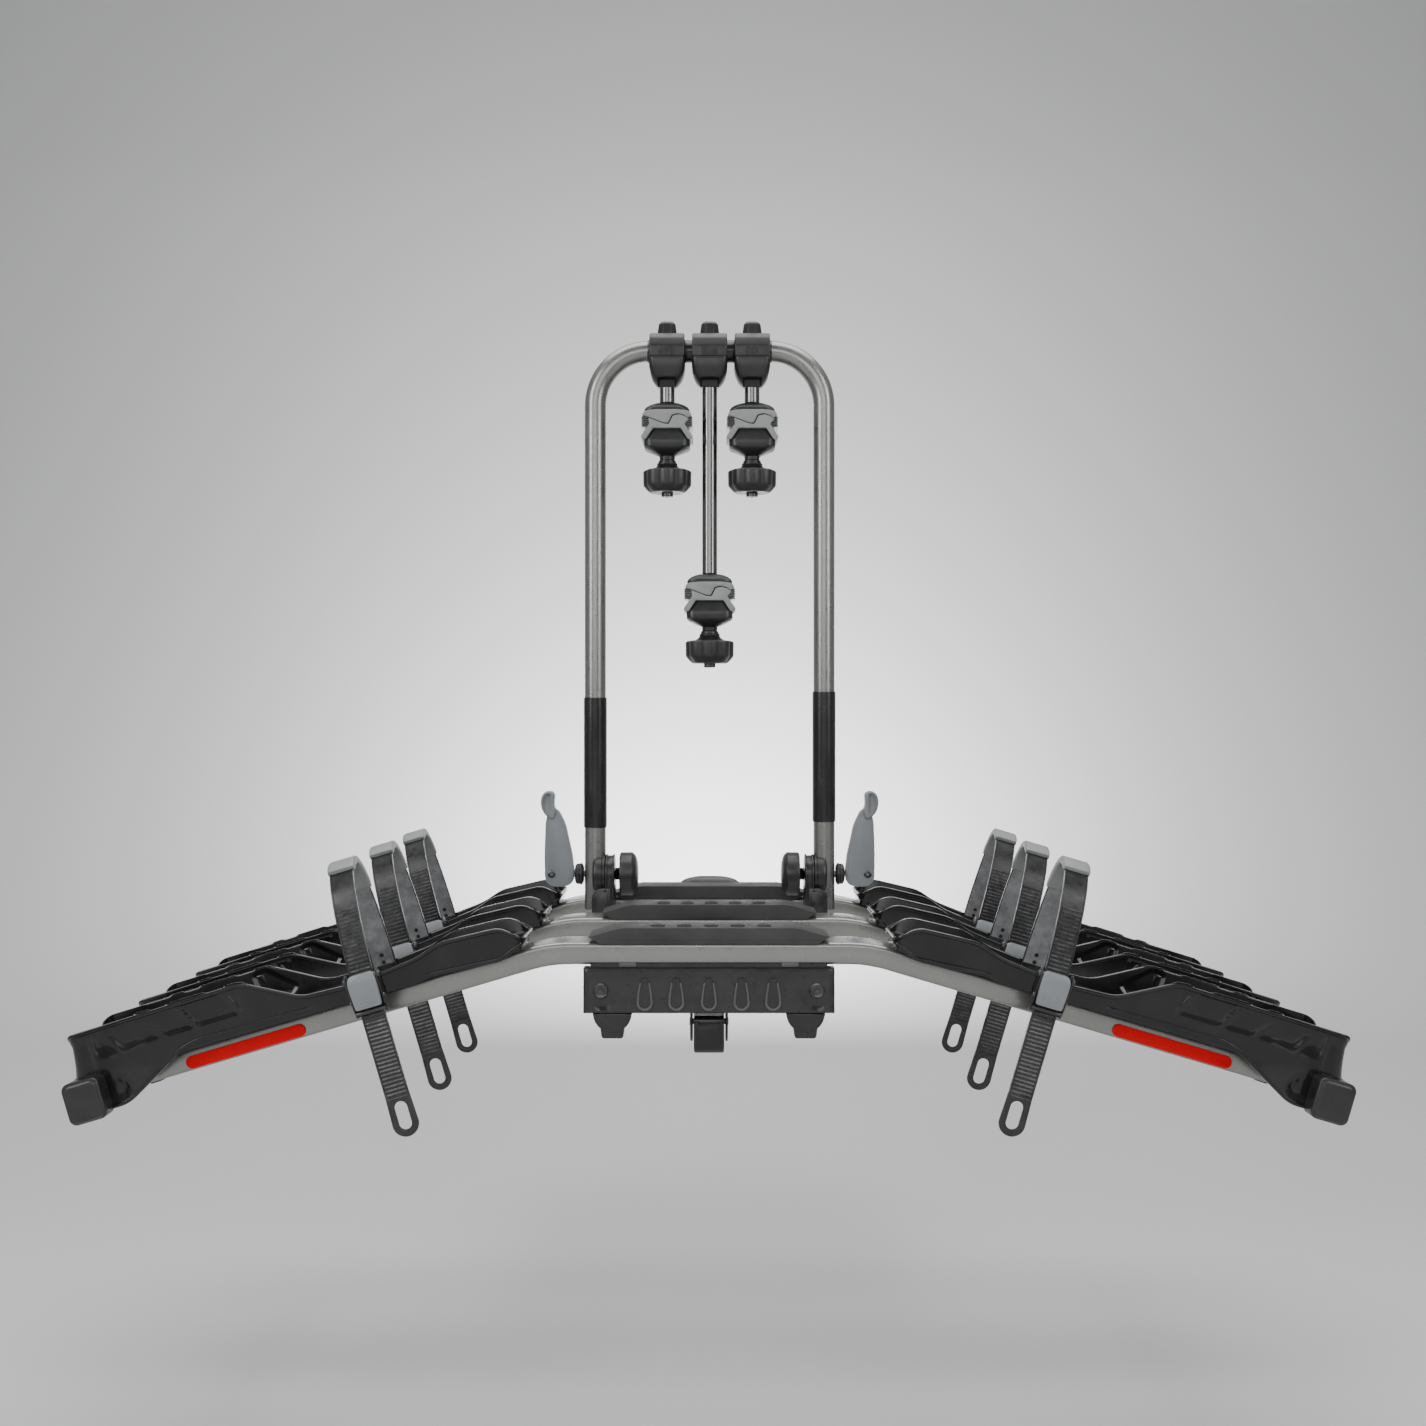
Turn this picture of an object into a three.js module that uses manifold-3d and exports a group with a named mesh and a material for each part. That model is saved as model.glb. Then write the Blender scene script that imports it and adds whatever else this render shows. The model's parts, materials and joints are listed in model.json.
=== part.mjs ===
// Hitch mounted platform rack for three bicycles, in millimetres.
// Frame: +Z up, +Y towards the vehicle, X across it.
// Origin: centre of the end face of the shank that slides into the vehicle's receiver.
import * as THREE from 'three';
import Module from 'manifold-3d';
import { mergeVertices } from 'three/addons/utils/BufferGeometryUtils.js';

const wasm = await Module();
wasm.setup();

// ---- driving dimensions -------------------------------------------------------------
const GAP = 0.3;                 // space kept between faces that meet
const LEFT = -1;
const RIGHT = 1;
const SIDES = { left: LEFT, right: RIGHT };

const shank = { size: 50.8, wall: 5, length: 300, pinHole: 15.9, pinFromEnd: 70 };
const tiltPivot = { y: -280, bolt: 12, bore: 12.8, headRadius: 10.5, headThickness: 7.5 };

const rail = { depth: 50, height: 22, wall: 2, topZ: 48, bendX: 158, bendRadius: 150 };
const droop = THREE.MathUtils.degToRad(16.5);
const rowPitch = 190;
const rowY = { rear: -732, middle: -732 + rowPitch, front: -732 + 2 * rowPitch };
const railZ = rail.topZ - rail.height / 2;

const crossTube = { size: 30, wall: 2, along: 459, below: -4.2, overhang: 67 };
const endCap = { width: 37, height: 41, wall: 6, depth: 22 };

const tray = { width: 100, wall: 3, floor: 3, floorZ: rail.height / 2 + GAP };
const cover = { halfTop: 90, halfWide: 119, halfFoot: 108, depth: 50, height: 14 };

const strap = { width: 24, thickness: 3, along: 174, arch: 57, archFoot: 21, archHeight: 118,
  anchorY: 45.5, tailY: -55.5, tailDrop: -127, slotLength: 27, slotWidth: 11, slotEdge: 6 };
const buckle = { width: 28, thickness: 9, low: 4, pivotUp: 33 };

const spine = { width: 50, height: 40, wall: 2.5, frontY: -316, rearY: -738 };
const cheek = { inside: 26, thickness: 6, rearY: -400, frontY: -262, low: -22 };
const plate = { width: 247, height: 44, topZ: 23, faceY: -763, depth: 22, sheet: 3 };
const foot = { x: 95, y: -751, halfDepth: 10, top: 19.5, low: 13, drop: 28 };
const pedal = { outside: 38, cheek: 3, width: 31, pivotY: -712, pivotZ: -38, pin: 8, bore: 9,
  yokeRearY: -738, yokeFrontY: -690, yokeLow: -57.5 };
const handle = { halfWide: 39, y: -308, depth: 24, stemWide: 30, stemDeep: 8, low: 8, domeLow: 52,
  rim: 60, shoulder: 65.5, top: 68 };

const mast = { x: 137.5, y: -410, tube: 25.4, wall: 2, topZ: 709, bend: 65 };
const quickRelease = { z: 81, shaft: 8, bore: 9, legBelow: 42 };
const bracket = { inner: 114, outer: 124.3, radius: 24, footZ: 27, lipX: 140, lipTop: 66 };
const barrel = { from: 150.5, to: 160.5, radius: 13 };
const pivotKnob = { from: 85.5, disc: 107.8, to: 113.7, face: 18, radius: 26, stem: 7.7,
  boreDepth: 15 };
const camLever = { x: 189.5, thickness: 14, pin: 5 };

const armPitch = 51;
const armHead = { width: 42, radius: 29, bore: 13.4, foot: 12, waist: 16, bottomZ: 665, cap: 11.5,
  capTop: 744, shoulder: 20 };
const rod = { radius: 9, shortEnd: 646, longEnd: 441 };
const clamp = { height: 63.5, neck: 9, band: 32, body: 26 };
const knob = { radius: 29, lobes: 8, flute: 2.2, height: 27, collar: 15, collarHeight: 12, neck: 4.5,
  insert: 7, insertHeight: 5 };

const softEdge = 2;              // chamfer of the moulded pieces
const round = 12;                // facets of a plain cylinder
const bendSteps = 8;             // facets along a bend
const cornerSteps = 2;           // half the facets of an outline's arc

// ---- materials ----------------------------------------------------------------------
const finish = (color, roughness, metalness) =>
  new THREE.MeshStandardMaterial({ color, roughness, metalness });
const silverPaint = finish(0x9a9c98, 0.45, 0.6);
const blackPaint = finish(0x17181a, 0.4, 0.3);
const glossBlack = finish(0x0c0c0d, 0.25, 0);
const mattBlack = finish(0x1b1b1c, 0.7, 0);
const greyPlastic = finish(0x5d6163, 0.5, 0);
const zincSteel = finish(0x8b8d90, 0.35, 0.9);

// ---- geometry helpers ---------------------------------------------------------------
function solid(geometry) {
  const bare = geometry.clone();
  bare.deleteAttribute('normal');
  bare.deleteAttribute('uv');
  const merged = mergeVertices(bare, 1e-4);
  return new wasm.Manifold(new wasm.Mesh({
    numProp: 3,
    vertProperties: new Float32Array(merged.attributes.position.array),
    triVerts: new Uint32Array(merged.index.array),
  }));
}

function geometryOf(manifold) {
  const mesh = manifold.getMesh();
  const geometry = new THREE.BufferGeometry();
  geometry.setAttribute('position', new THREE.BufferAttribute(mesh.vertProperties, 3));
  geometry.setIndex(new THREE.BufferAttribute(mesh.triVerts, 1));
  return geometry;
}

const join = (...parts) => geometryOf(parts.map(solid).reduce((whole, part) => whole.add(part)));
const cut = (body, ...tools) =>
  geometryOf(tools.map(solid).reduce((whole, tool) => whole.subtract(tool), solid(body)));

function block(x, y, z) {
  const geometry = new THREE.BoxGeometry(x[1] - x[0], y[1] - y[0], z[1] - z[0]);
  return geometry.translate((x[0] + x[1]) / 2, (y[0] + y[1]) / 2, (z[0] + z[1]) / 2);
}

// The profile's points are (radius, height) and turn about the named axis.
function turned(profile, axis = 'z', facets = round) {
  const geometry = new THREE.LatheGeometry(profile.map(([r, h]) => new THREE.Vector2(r, h)), facets);
  if (axis === 'z') geometry.rotateX(Math.PI / 2);
  if (axis === 'x') geometry.rotateZ(-Math.PI / 2);
  return geometry;
}

function rodAlong(axis, radius, from, to) {
  return turned([[0, from], [radius, from], [radius, to], [0, to]], axis);
}

function outline(points) {
  return new THREE.Shape(points.map(([a, b]) => new THREE.Vector2(a, b)));
}

// An outline in X and Z, pushed through the stretch of Y from y[0] to y[1].
function acrossY(shape, y, bevel = 0) {
  const geometry = extruded(shape, y[1] - y[0], bevel);
  return geometry.rotateX(Math.PI / 2).translate(0, y[1], 0);
}

// An outline in Y and Z, pushed through the stretch of X from x[0] to x[1].
function acrossX(shape, x, bevel = 0) {
  const geometry = extruded(shape, x[1] - x[0], bevel);
  return geometry.rotateX(Math.PI / 2).rotateZ(Math.PI / 2).translate(x[0], 0, 0);
}

function extruded(shape, depth, bevel) {
  const geometry = new THREE.ExtrudeGeometry(shape, {
    depth: depth - 2 * bevel,
    curveSegments: cornerSteps,
    bevelEnabled: bevel > 0,
    bevelSize: bevel,
    bevelThickness: bevel,
    bevelOffset: -bevel,
    bevelSegments: 1,
  });
  return geometry.translate(0, 0, bevel);
}

function roundedRectangle(width, height, radius) {
  const shape = new THREE.Shape();
  const x = width / 2;
  const y = height / 2;
  shape.moveTo(-x + radius, -y);
  shape.lineTo(x - radius, -y);
  shape.absarc(x - radius, -y + radius, radius, -Math.PI / 2, 0);
  shape.absarc(x - radius, y - radius, radius, 0, Math.PI / 2);
  shape.absarc(-x + radius, y - radius, radius, Math.PI / 2, Math.PI);
  shape.absarc(-x + radius, -y + radius, radius, Math.PI, 1.5 * Math.PI);
  return shape;
}

// Pieces of the two sides are drawn once, for the right, and mirrored for the left.
function forSide(geometry, side) {
  if (side === RIGHT) return geometry;
  const mirrored = geometry.index ? geometry.toNonIndexed() : geometry.clone();
  mirrored.scale(-1, 1, 1);
  const position = mirrored.attributes.position;
  for (let corner = 0; corner < position.count; corner += 3) {
    const second = new THREE.Vector3().fromBufferAttribute(position, corner + 1);
    const third = new THREE.Vector3().fromBufferAttribute(position, corner + 2);
    position.setXYZ(corner + 1, third.x, third.y, third.z);
    position.setXYZ(corner + 2, second.x, second.y, second.z);
  }
  mirrored.deleteAttribute('normal');
  mirrored.deleteAttribute('uv');
  return mirrored;
}

const rack = new THREE.Group();

function add(parent, name, geometry, material) {
  const mesh = new THREE.Mesh(geometry, material);
  mesh.name = name;
  parent.add(mesh);
  return mesh;
}

// A group whose X runs outwards along the drooping arm and whose Z stands square to it.
function armGroup(side, y) {
  const group = new THREE.Group();
  group.position.set(side * rail.bendX, y, railZ);
  group.rotation.y = side * droop;
  rack.add(group);
  return group;
}

// ---- hitch and tilt pivot -----------------------------------------------------------
function hitchShank() {
  const half = shank.size / 2;
  const inner = half - shank.wall;
  const tube = block([-half, half], [-shank.length, 0], [-half, half]);
  const hollow = block([-inner, inner], [-shank.length - 1, -shank.wall], [-inner, inner]);
  const pinHole = rodAlong('x', shank.pinHole / 2, -half - 1, half + 1)
    .translate(0, -shank.pinFromEnd, 0);
  const pivotHole = rodAlong('x', tiltPivot.bore / 2, -half - 1, half + 1)
    .translate(0, tiltPivot.y, 0);
  return cut(tube, hollow, pinHole, pivotHole);
}

function tiltBolt() {
  const shaft = tiltPivot.bolt / 2;
  const seat = cheek.inside + cheek.thickness + GAP;
  const end = seat + tiltPivot.headThickness;
  const head = tiltPivot.headRadius;
  const profile = [[0, -end], [head, -end], [head, -seat], [shaft, -seat],
    [shaft, seat], [head, seat], [head, end], [0, end]];
  return turned(profile, 'x').translate(0, tiltPivot.y, 0);
}

// ---- base under the rails -----------------------------------------------------------
function baseSpine() {
  const top = rail.topZ - rail.height - GAP;
  const low = top - spine.height;
  const half = spine.width / 2;
  const inner = half - spine.wall;
  const tube = block([-half, half], [spine.rearY, spine.frontY], [low, top]);
  const hollow = block([-inner, inner], [spine.rearY - 1, spine.frontY + 1],
    [low + spine.wall, top - spine.wall]);
  const outer = cheek.inside + cheek.thickness;
  const ears = block([-outer, outer], [cheek.rearY, cheek.frontY], [cheek.low, top]);
  const slot = block([-cheek.inside, cheek.inside], [spine.frontY, cheek.frontY + 1],
    [cheek.low - 1, top + 1]);
  const under = block([-cheek.inside, cheek.inside], [cheek.rearY - 1, spine.frontY + 1],
    [cheek.low - 1, low]);
  const bore = rodAlong('x', tiltPivot.bore / 2, -outer - 1, outer + 1)
    .translate(0, tiltPivot.y, 0);
  return cut(join(tube, ears), slot, under, hollow, bore);
}

function rearPlate() {
  const half = plate.width / 2;
  const low = plate.topZ - plate.height;
  const back = plate.faceY + plate.depth;
  const channel = block([-half, half], [plate.faceY, back], [low, plate.topZ]);
  const hollow = block([-half - 1, half + 1], [plate.faceY + plate.sheet, back + 1],
    [low + plate.sheet, plate.topZ - plate.sheet]);
  return cut(channel, hollow);
}

function plateFoot() {
  const top = plate.topZ - plate.height - GAP;
  const waist = top - foot.drop / 2;
  const low = top - foot.drop;
  const shape = outline([[-foot.top, top], [-foot.low, waist], [-foot.low + 2, low],
    [foot.low - 2, low], [foot.low, waist], [foot.top, top]]);
  return acrossY(shape, [foot.y - foot.halfDepth, foot.y + foot.halfDepth], softEdge);
}

function pedalBracket() {
  const half = pedal.outside / 2;
  const inner = half - pedal.cheek;
  const top = rail.topZ - rail.height - spine.height - 2 * GAP;
  const yoke = block([-half, half], [pedal.yokeRearY, pedal.yokeFrontY], [pedal.yokeLow, top]);
  const gap = block([-inner, inner], [pedal.yokeRearY - 1, pedal.yokeFrontY + 1],
    [pedal.yokeLow - 1, top - pedal.cheek]);
  const pin = rodAlong('x', pedal.pin / 2, -half + 1, half - 1)
    .translate(0, pedal.pivotY, pedal.pivotZ);
  return join(cut(yoke, gap), pin);
}

function tiltPedal() {
  const half = pedal.width / 2;
  const shape = outline([[-744, -27], [-747, -30], [-747, -58], [-740, -64.5], [-716, -64.5],
    [-700, -46], [-700, -32], [-705, -27]]);
  const bore = rodAlong('x', pedal.bore / 2, -half - 1, half + 1)
    .translate(0, pedal.pivotY, pedal.pivotZ);
  return cut(acrossX(shape, [-half, half], softEdge), bore);
}

function releaseHandle() {
  const half = handle.halfWide;
  const dome = outline([[-half, handle.domeLow], [half, handle.domeLow], [half, handle.rim],
    [0.7 * half, handle.shoulder], [0.3 * half, handle.top], [-0.3 * half, handle.top],
    [-0.7 * half, handle.shoulder], [-half, handle.rim]]);
  const grip = acrossY(dome, [handle.y - handle.depth / 2, handle.y + handle.depth / 2], softEdge);
  const stem = block([-handle.stemWide / 2, handle.stemWide / 2],
    [handle.y - handle.stemDeep / 2, handle.y + handle.stemDeep / 2],
    [handle.low, handle.domeLow + 2]);
  return join(grip, stem);
}

// ---- rails, cross tubes and end caps ------------------------------------------------
// One edge of the rail, at a height above or below its centre line, from the centre to the tip.
function railEdge(offset, tip) {
  const tangent = rail.bendRadius * Math.tan(droop / 2);
  const centreX = rail.bendX - tangent;
  const centreZ = railZ - rail.bendRadius;
  const radius = rail.bendRadius + offset;
  const points = [];
  for (let step = 0; step <= bendSteps; step += 1) {
    const angle = droop * step / bendSteps;
    points.push([centreX + radius * Math.sin(angle), centreZ + radius * Math.cos(angle)]);
  }
  points.push([
    rail.bendX + tip * Math.cos(droop) + offset * Math.sin(droop),
    railZ - tip * Math.sin(droop) + offset * Math.cos(droop),
  ]);
  return points;
}

function railOutline(halfHeight, tip) {
  const top = railEdge(halfHeight, tip);
  const bottom = railEdge(-halfHeight, tip);
  const mirror = (points) => points.map(([x, z]) => [-x, z]);
  return outline([...mirror(top).reverse(), ...top, ...bottom.reverse(), ...mirror(bottom).reverse()]);
}

function wheelRail(y) {
  const tip = crossTube.along - crossTube.size / 2 - GAP;
  const half = rail.depth / 2;
  const skin = acrossY(railOutline(rail.height / 2, tip), [y - half, y + half], softEdge);
  const inside = acrossY(railOutline(rail.height / 2 - rail.wall, tip + 5),
    [y - half + rail.wall, y + half - rail.wall]);
  return cut(skin, inside);
}

function tubeSpan() {
  return [rowY.rear - crossTube.overhang, rowY.front + crossTube.overhang];
}

function sideCrossTube() {
  const [from, to] = tubeSpan();
  const shape = roundedRectangle(crossTube.size, crossTube.size, 3);
  const inner = roundedRectangle(crossTube.size - 2 * crossTube.wall,
    crossTube.size - 2 * crossTube.wall, 2);
  const tube = cut(acrossY(shape, [from, to]), acrossY(inner, [from - 1, to + 1]));
  return tube.translate(crossTube.along, 0, crossTube.below);
}

// A cup pushed over the tube's end; facing is -1 at the rear end and +1 at the vehicle's end.
function tubeCap(facing) {
  const [from, to] = tubeSpan();
  const tubeEnd = facing < 0 ? from : to;
  const outerFace = tubeEnd + facing * endCap.wall;
  const innerFace = outerFace - facing * endCap.depth;
  const span = [Math.min(outerFace, innerFace), Math.max(outerFace, innerFace)];
  const pocketSize = crossTube.size + 2 * GAP;
  const pocketSpan = facing < 0 ? [tubeEnd - GAP, innerFace + 1] : [innerFace - 1, tubeEnd + GAP];
  const cup = acrossY(roundedRectangle(endCap.width, endCap.height, 6), span, 1.5);
  const pocket = acrossY(roundedRectangle(pocketSize, pocketSize, 3), pocketSpan);
  return cut(cup, pocket).translate(crossTube.along, 0, crossTube.below);
}

// ---- wheel trays and centre covers --------------------------------------------------
// The side wall seen from the rear, in the arm's own X and Z: low where the strap crosses,
// high towards the wheel's outer end, and reaching down over the rail's end.
function trayWallOutline() {
  return outline([[18, 20], [36, 39], [97, 43.5], [121, 35.5], [187, 29], [238, 32], [290, 61],
    [452, 59], [465, 51], [473, tray.floorZ], [442, tray.floorZ], [442, -21], [427, -21],
    [358, 9], [42, 9]]);
}

function wheelTray() {
  const half = tray.width / 2;
  const floorTop = tray.floorZ + tray.floor;
  const rearWall = acrossY(trayWallOutline(), [-half, -half + tray.wall]);
  const frontWall = acrossY(trayWallOutline(), [half - tray.wall, half]);
  const floor = block([40, 472], [-half + 1, half - 1], [tray.floorZ, floorTop]);
  const endWall = acrossY(outline([[469, tray.floorZ], [473, tray.floorZ], [465, 51], [461, 51]]),
    [-half + 1, half - 1]);
  return join(rearWall, frontWall, floor, endWall);
}

function centreCover(y) {
  const low = rail.topZ + GAP;
  const top = low + cover.height;
  const shape = outline([[-cover.halfFoot, low], [cover.halfFoot, low], [cover.halfWide, low + 6],
    [cover.halfTop, top], [-cover.halfTop, top], [-cover.halfWide, low + 6]]);
  return acrossY(shape, [y - cover.depth / 2, y + cover.depth / 2], 2);
}

// ---- wheel straps -------------------------------------------------------------------
// Half an ellipse over the tray, from the rear wall to the anchor inside the far wall.
function archPoints(inset) {
  const points = [];
  const steps = 14;
  for (let step = 0; step <= steps; step += 1) {
    const angle = Math.PI * (1 - step / steps);
    const far = Math.cos(angle) > 0 ? strap.anchorY : strap.arch;
    points.push([
      (far - inset) * Math.cos(angle),
      strap.archFoot + (strap.archHeight - inset) * Math.sin(angle),
    ]);
  }
  return points;
}

function wheelStrap() {
  const outer = archPoints(0);
  const inner = archPoints(strap.thickness).reverse();
  const half = strap.width / 2;
  const side = strap.tailY + strap.thickness / 2;
  const ribbon = outline([[strap.tailY - strap.thickness / 2, strap.tailDrop],
    [strap.tailY - strap.thickness / 2, 0], ...outer, ...inner, [side, 0], [side, strap.tailDrop]]);
  const slotHalf = strap.slotWidth / 2;
  const slotLow = strap.tailDrop + strap.slotEdge + slotHalf;
  const slot = new THREE.Shape();
  slot.absarc(0, slotLow + strap.slotLength - strap.slotWidth, slotHalf, 0, Math.PI);
  slot.absarc(0, slotLow, slotHalf, Math.PI, 2 * Math.PI);
  const window = acrossY(slot, [strap.tailY - 5, strap.tailY + 5]);
  return cut(acrossX(ribbon, [-half, half]), window).translate(strap.along, 0, 0);
}

function strapBuckle() {
  const half = buckle.width / 2;
  const radius = buckle.thickness / 2;
  const pivotY = strap.tailY - strap.thickness / 2 - GAP - radius;
  const shape = new THREE.Shape();
  shape.moveTo(pivotY + radius, buckle.low);
  shape.absarc(pivotY, buckle.pivotUp, radius, 0, Math.PI);
  shape.lineTo(pivotY - radius, buckle.low + 4);
  shape.lineTo(pivotY, buckle.low);
  return acrossX(shape, [-half, half], 1).translate(strap.along, 0, 0);
}

// ---- mast and its quick releases ----------------------------------------------------
// A path through listed points, stepped point by point.
class ListedCurve extends THREE.Curve {
  constructor(points) {
    super();
    this.points = points;
  }

  getPoint(t) {
    const place = t * (this.points.length - 1);
    const index = Math.min(Math.floor(place), this.points.length - 2);
    return this.points[index].clone().lerp(this.points[index + 1], place - index);
  }

  getPointAt(t) {
    return this.getPoint(t);
  }

  getTangentAt(t) {
    const step = 0.5 / (this.points.length - 1);
    const before = this.getPoint(Math.max(t - step, 0));
    return this.getPoint(Math.min(t + step, 1)).sub(before).normalize();
  }
}

function mastPath() {
  const points = [new THREE.Vector3(-mast.x, mast.y, quickRelease.z - quickRelease.legBelow)];
  for (const side of [LEFT, RIGHT]) {
    for (let step = 0; step <= bendSteps; step += 1) {
      const turn = (side === LEFT ? bendSteps - step : step) / bendSteps * Math.PI / 2;
      points.push(new THREE.Vector3(
        side * (mast.x - mast.bend + mast.bend * Math.sin(turn)),
        mast.y,
        mast.topZ - mast.bend + mast.bend * Math.cos(turn),
      ));
    }
  }
  points.push(new THREE.Vector3(mast.x, mast.y, quickRelease.z - quickRelease.legBelow));
  return points;
}

function uprightMast() {
  const ring = new THREE.Shape().absarc(0, 0, mast.tube / 2, 0, 2 * Math.PI);
  ring.holes.push(new THREE.Path().absarc(0, 0, mast.tube / 2 - mast.wall, 0, 2 * Math.PI, true));
  const path = mastPath();
  const tube = new THREE.ExtrudeGeometry(ring, {
    steps: path.length - 1,
    curveSegments: round / 2,
    bevelEnabled: false,
    extrudePath: new ListedCurve(path),
  });
  const bore = rodAlong('x', quickRelease.bore / 2, -mast.x - 20, mast.x + 20)
    .translate(0, mast.y, quickRelease.z);
  return cut(tube, bore);
}

function mastBracket() {
  const shape = new THREE.Shape();
  shape.moveTo(mast.y - bracket.radius, bracket.footZ);
  shape.lineTo(rowY.front - rail.depth / 2 - GAP, bracket.footZ);
  shape.lineTo(rowY.front - rail.depth / 2 - GAP, rail.topZ);
  shape.lineTo(mast.y + bracket.radius, quickRelease.z);
  shape.absarc(mast.y, quickRelease.z, bracket.radius, 0, Math.PI);
  const web = acrossX(shape, [bracket.inner, bracket.outer]);
  const lip = block([bracket.outer - 1, bracket.lipX],
    [mast.y - bracket.radius, mast.y - mast.tube / 2 - 1], [bracket.footZ, bracket.lipTop]);
  const bore = rodAlong('x', quickRelease.bore / 2, bracket.inner - 1, bracket.outer + 1)
    .translate(0, mast.y, quickRelease.z);
  return cut(join(web, lip), bore);
}

function quickReleaseShaft() {
  const shaft = quickRelease.shaft / 2;
  const start = pivotKnob.to - pivotKnob.boreDepth + 1;
  const profile = [[0, start], [shaft, start], [shaft, barrel.from], [barrel.radius - 2, barrel.from],
    [barrel.radius, barrel.from + 2], [barrel.radius, barrel.to - 3],
    [barrel.radius - 4, barrel.to], [0, barrel.to]];
  return turned(profile, 'x').translate(0, mast.y, quickRelease.z);
}

function mastKnob() {
  const bore = quickRelease.bore / 2;
  const profile = [[0, pivotKnob.from], [pivotKnob.face, pivotKnob.from],
    [pivotKnob.radius - 2, pivotKnob.from + 3], [pivotKnob.radius, pivotKnob.from + 8],
    [pivotKnob.radius, pivotKnob.disc - 1], [pivotKnob.radius - 1, pivotKnob.disc],
    [pivotKnob.stem, pivotKnob.disc], [pivotKnob.stem, pivotKnob.to], [bore, pivotKnob.to],
    [bore, pivotKnob.to - pivotKnob.boreDepth], [0, pivotKnob.to - pivotKnob.boreDepth]];
  return turned(profile, 'x', 2 * round).translate(0, mast.y, quickRelease.z);
}

function quickReleaseLever() {
  const half = camLever.thickness / 2;
  const body = outline([[164.7, 70.5], [172, 66], [189.5, 66], [197.7, 72.8], [198.2, 106],
    [196.8, 144], [202.6, 161.7], [200.5, 176], [194, 180.7], [187, 178], [184.2, 164.6],
    [179.3, 157.4], [172, 140], [164.7, 103.4], [162.2, 80]]);
  const hole = rodAlong('z', camLever.pin / 2, -half - 1, half + 1).rotateX(Math.PI / 2)
    .translate(camLever.x, mast.y, quickRelease.z);
  return cut(acrossY(body, [mast.y - half, mast.y + half], 1), hole);
}

// ---- arms ---------------------------------------------------------------------------
function mastArmHead() {
  const half = armHead.width / 2;
  const sleeve = rodAlong('x', armHead.radius, -half, half).translate(0, 0, mast.topZ);
  const lower = turned([[0, armHead.bottomZ], [armHead.foot, armHead.bottomZ],
    [armHead.waist, armHead.bottomZ + 7], [half, mast.topZ - 8], [half, mast.topZ], [0, mast.topZ]]);
  const cap = turned([[0, mast.topZ], [armHead.cap, mast.topZ], [armHead.cap, armHead.capTop - 3],
    [armHead.cap - 3, armHead.capTop], [0, armHead.capTop]]);
  const shoulder = block([-half, half], [-half, half],
    [mast.topZ - armHead.shoulder, mast.topZ + armHead.shoulder]);
  const bore = rodAlong('x', armHead.bore, -half - 1, half + 1).translate(0, 0, mast.topZ);
  return cut(join(geometryOf(solid(sleeve).intersect(solid(shoulder))), lower, cap), bore);
}

function armRod(end) {
  return rodAlong('z', rod.radius, end + GAP, armHead.bottomZ - GAP);
}

function frameClamp(top) {
  const profile = [[0, 0], [12, 0], [20, -3], [clamp.body, -11], [clamp.band, -14], [clamp.band, -38],
    [clamp.body, -41], [clamp.body, -50], [18, -61], [clamp.neck, -clamp.height],
    [clamp.neck, -clamp.height - knob.neck + GAP], [0, -clamp.height - knob.neck + GAP]];
  return turned(profile.reverse()).translate(0, 0, top);
}

function clampKnob(top) {
  const shape = new THREE.Shape();
  const steps = knob.lobes * 6;
  for (let step = 0; step < steps; step += 1) {
    const angle = 2 * Math.PI * step / steps;
    const radius = knob.radius - knob.flute * (1 - Math.abs(Math.cos(knob.lobes * angle / 2)));
    const place = [radius * Math.cos(angle), radius * Math.sin(angle)];
    if (step === 0) shape.moveTo(...place);
    else shape.lineTo(...place);
  }
  const collarTop = top - clamp.height - knob.neck;
  const discTop = collarTop - knob.collarHeight;
  const disc = extruded(shape, knob.height, softEdge).translate(0, 0, discTop - knob.height);
  const collar = rodAlong('z', knob.collar, discTop - 1, collarTop);
  const discLow = discTop - knob.height;
  const insert = rodAlong('z', knob.insert, discLow - knob.insertHeight, discLow + 1);
  return join(disc, collar, insert);
}

// ---- the assembly -------------------------------------------------------------------
add(rack, 'hitch_shank', hitchShank(), blackPaint);
add(rack, 'tilt_bolt', tiltBolt(), zincSteel);
add(rack, 'base_spine', baseSpine(), blackPaint);
add(rack, 'rear_plate', rearPlate(), blackPaint);
add(rack, 'pedal_bracket', pedalBracket(), blackPaint);
add(rack, 'tilt_pedal', tiltPedal(), mattBlack);
add(rack, 'release_handle', releaseHandle(), greyPlastic);
add(rack, 'mast', uprightMast(), silverPaint);

for (const [row, y] of Object.entries(rowY)) {
  add(rack, `rail_${row}`, wheelRail(y), silverPaint);
  add(rack, `centre_cover_${row}`, centreCover(y), mattBlack);
}

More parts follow.
